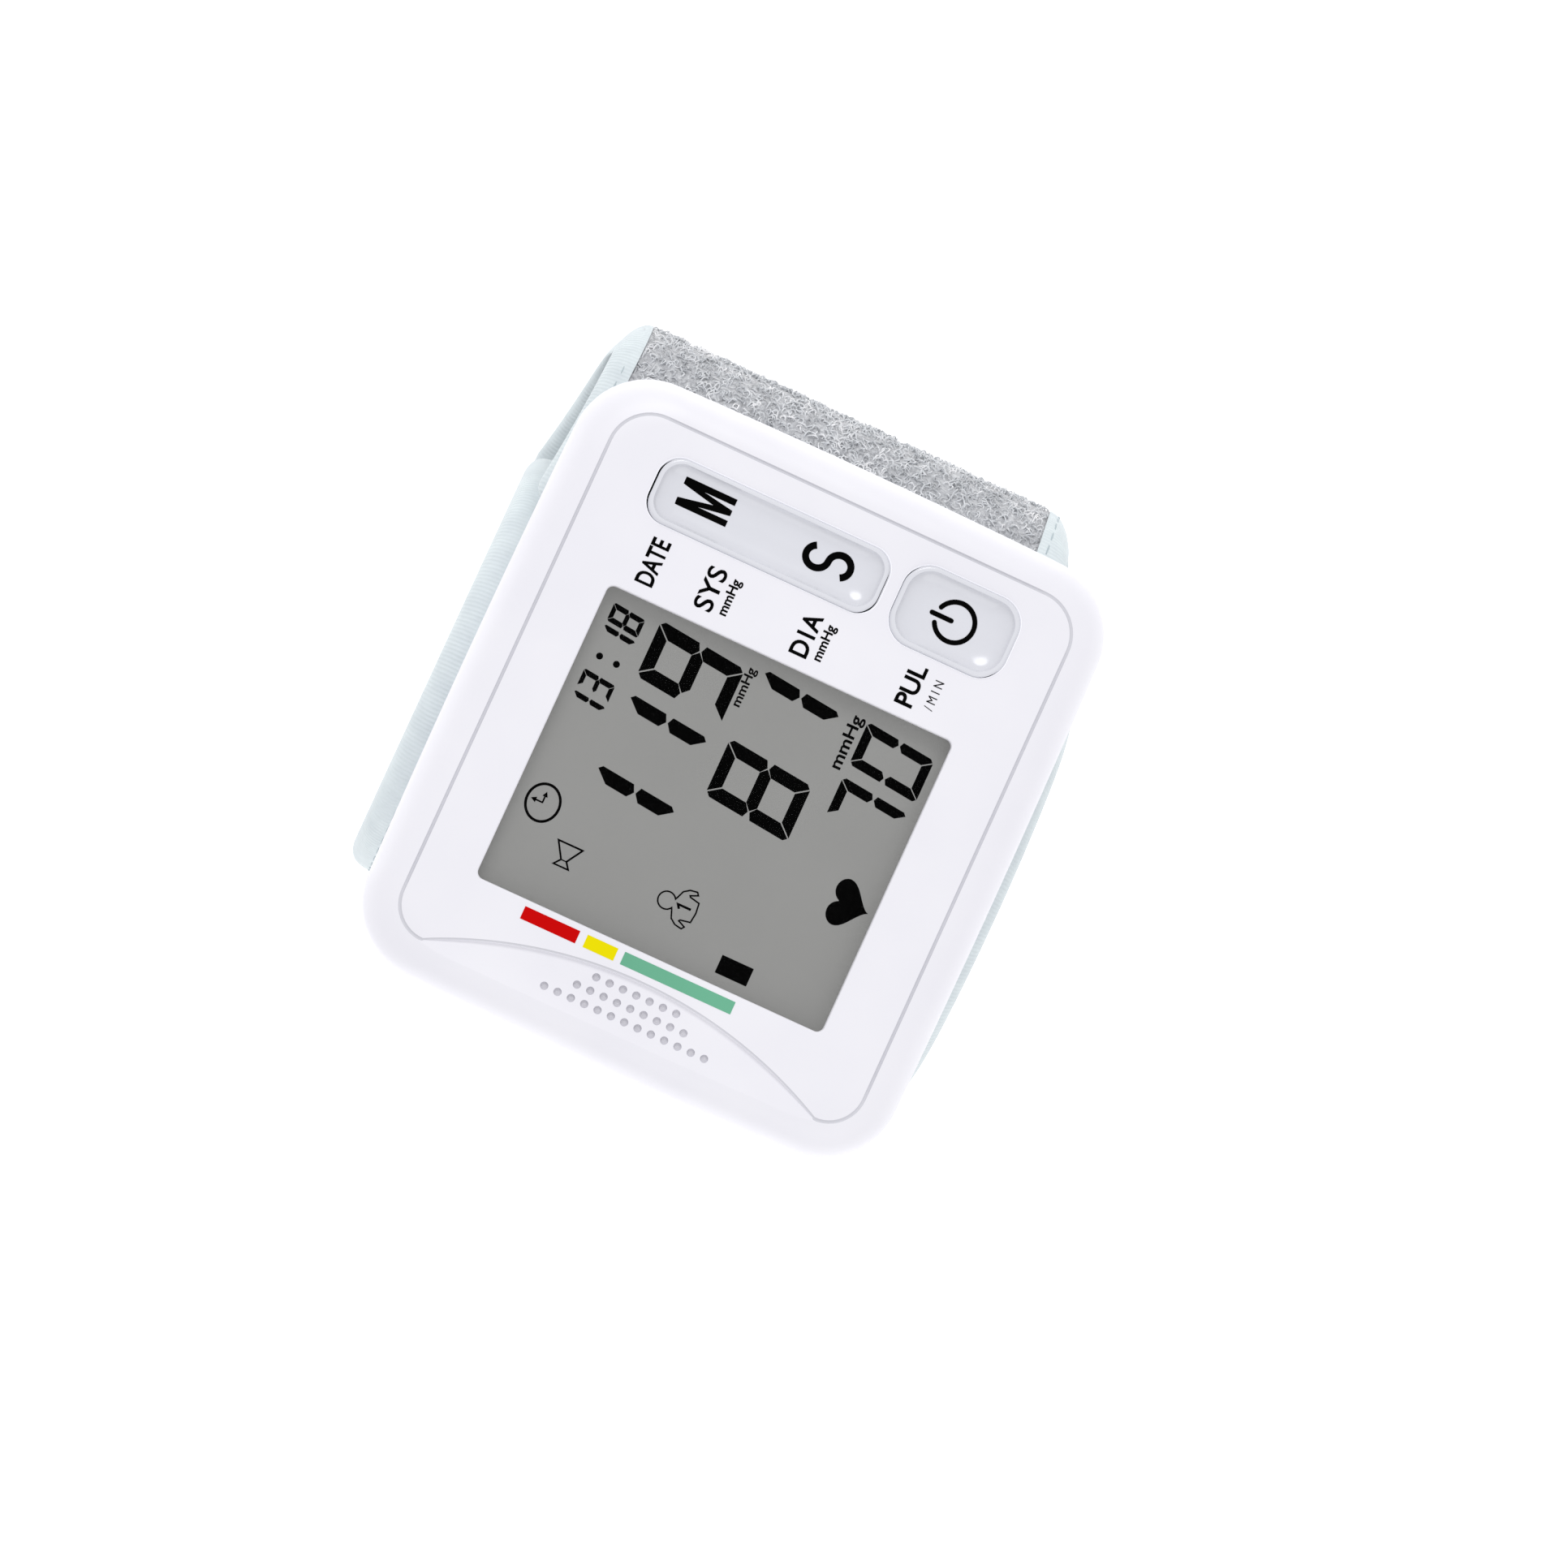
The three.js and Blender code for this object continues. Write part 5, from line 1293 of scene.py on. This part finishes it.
def make_bladder():
    """The air bladder: a flat welded bag, a little fuller in its middle than at its seams."""
    half = span("cuff_bladder")[1].y
    start = tape_width + 2 * layer_gap
    end = band_end - layer_inset - 1
    depth = fabric_thickness + curler_thickness + 2 * layer_gap + bladder_thickness / 2

    def place(u, v):
        turn = 2 * pi * v
        full = bladder_thickness / 2 * min(1, 8 * min(u, 1 - u) + 0.1)
        return on_cuff(start + (end - start) * u, (half - 0.5) * cos(turn), depth - full * sin(turn))

    form = grid_form(140, 48, place, (end - start, 2 * half))
    bmesh.ops.remove_doubles(form, verts=form.verts, dist=0.001)
    bmesh.ops.holes_fill(form, edges=form.edges, sides=0)
    made = closed_cloth("air_bladder", form, bladder_film, "monitor", "cuff_bladder", "bladder_film")


# The CAD nodes that stay, by material
cad_finishes = (
    (lens_acrylic, "window_lens"),
    # The display glass glows with painted light
    (display_glass_painted_glow, "lcd_panel"),
    (light_nylon, "lcd_holder air_nozzle cuff_retainer cuff_curler"),
    (zebra_rubber, "zebra_strip"),
    (solder_mask, "main_board"),
    (black_abs, "controller_chip memory_switch set_switch power_switch pump_head pressure_sensor"),
    (zinc_steel, "key_pivot_pin pump_motor case_screw_1 case_screw_2 case_screw_3 case_screw_4"),
    (speaker_cloth, "speaker"),
    (nickel_plate, "release_valve positive_contact negative_contact bridge_contact"),
    (silicone, "air_manifold"),
    (cell_jacket, "battery_1 battery_2"),
)


def finish_cad_nodes():
    for material, names in cad_finishes:
        for name in names.split():
            node = frame["nodes"][name]
            node.data.materials.clear()
            node.data.materials.append(material)


# Studio
photo_side = 1932
photo_scale = 10.3
sight_distance = 700
sensor = 36


def make_camera():
    """The photograph's view: nearly straight down on the face, turned so that the display reads askew."""
    aim = Vector((0.44, -5.82, face_z))
    back = Vector((-0.0576, 0.061, 0.9965)).normalized()
    right = Vector((0.4179, -0.9085, 0))
    right = (right - right.dot(back) * back).normalized()
    lens = bpy.data.cameras.new("camera")
    lens.sensor_width = sensor
    lens.lens = sensor * sight_distance / (photo_side / photo_scale)
    lens.clip_end = 10
    camera = add_object("camera", lens)
    place = Matrix((right, back.cross(right), back)).transposed().to_4x4()
    place.translation = (aim + sight_distance * back) * mm
    camera.matrix_world = place
    bpy.context.scene.camera = camera


def make_studio():
    """White paper under the monitor, two soft lamps and an even sky."""
    form = bmesh.new()
    bmesh.ops.create_grid(form, x_segments=1, y_segments=1, size=3000)
    paper, tree, place = start_material("white_backdrop_paper", Roughness=0.9, Emission_Color=(1, 1, 1, 1),
                                        Emission_Strength=0.4)
    dress(paper, add_noise(tree, place, 60, 2), [(0.3, "#FBFBFC"), (0.7, "#FFFFFF")])
    floor = piece("floor", form, paper)
    floor.data.transform(Matrix.Scale(mm, 4))
    world = bpy.data.worlds.new("studio")
    world.use_nodes = True
    sky = world.node_tree.nodes["Background"]
    sky.inputs["Color"].default_value = colour("#FDFDFF")
    sky.inputs["Strength"].default_value = 0.75
    bpy.context.scene.world = world
    for name, spot, size, power in (("key_light", (0.7, 0.3, 0.85), 0.5, 3.3),
                                    ("fill_light", (-0.8, -0.4, 0.6), 0.9, 1.8)):
        lamp = bpy.data.lights.new(name, "AREA")
        lamp.shape = "DISK"
        lamp.size = size
        lamp.energy = power
        made = add_object(name, lamp)
        made.location = spot
        made.rotation_mode = "QUATERNION"
        made.rotation_quaternion = (Vector((0, 0, 0.04)) - Vector(spot)).to_track_quat("-Z", "Y")
    bpy.context.scene.view_settings.view_transform = "Standard"


make_camera()
make_front_shell()
make_rear_shell()
make_door()
make_key("memory_set_cap", memory_half, memory_radius, memory_middle, (-stem_reach, stem_reach), "memory_set",
         "memory_set_key")
make_key("power_cap", power_half, power_radius, power_middle, (0,), "power", "power_key")
make_display_marks()
make_face_prints()
make_key_legends()
make_fabrics()
make_tapes()
make_stitches()
make_pile()
make_hook_patch()
make_bladder()
finish_cad_nodes()
make_studio()
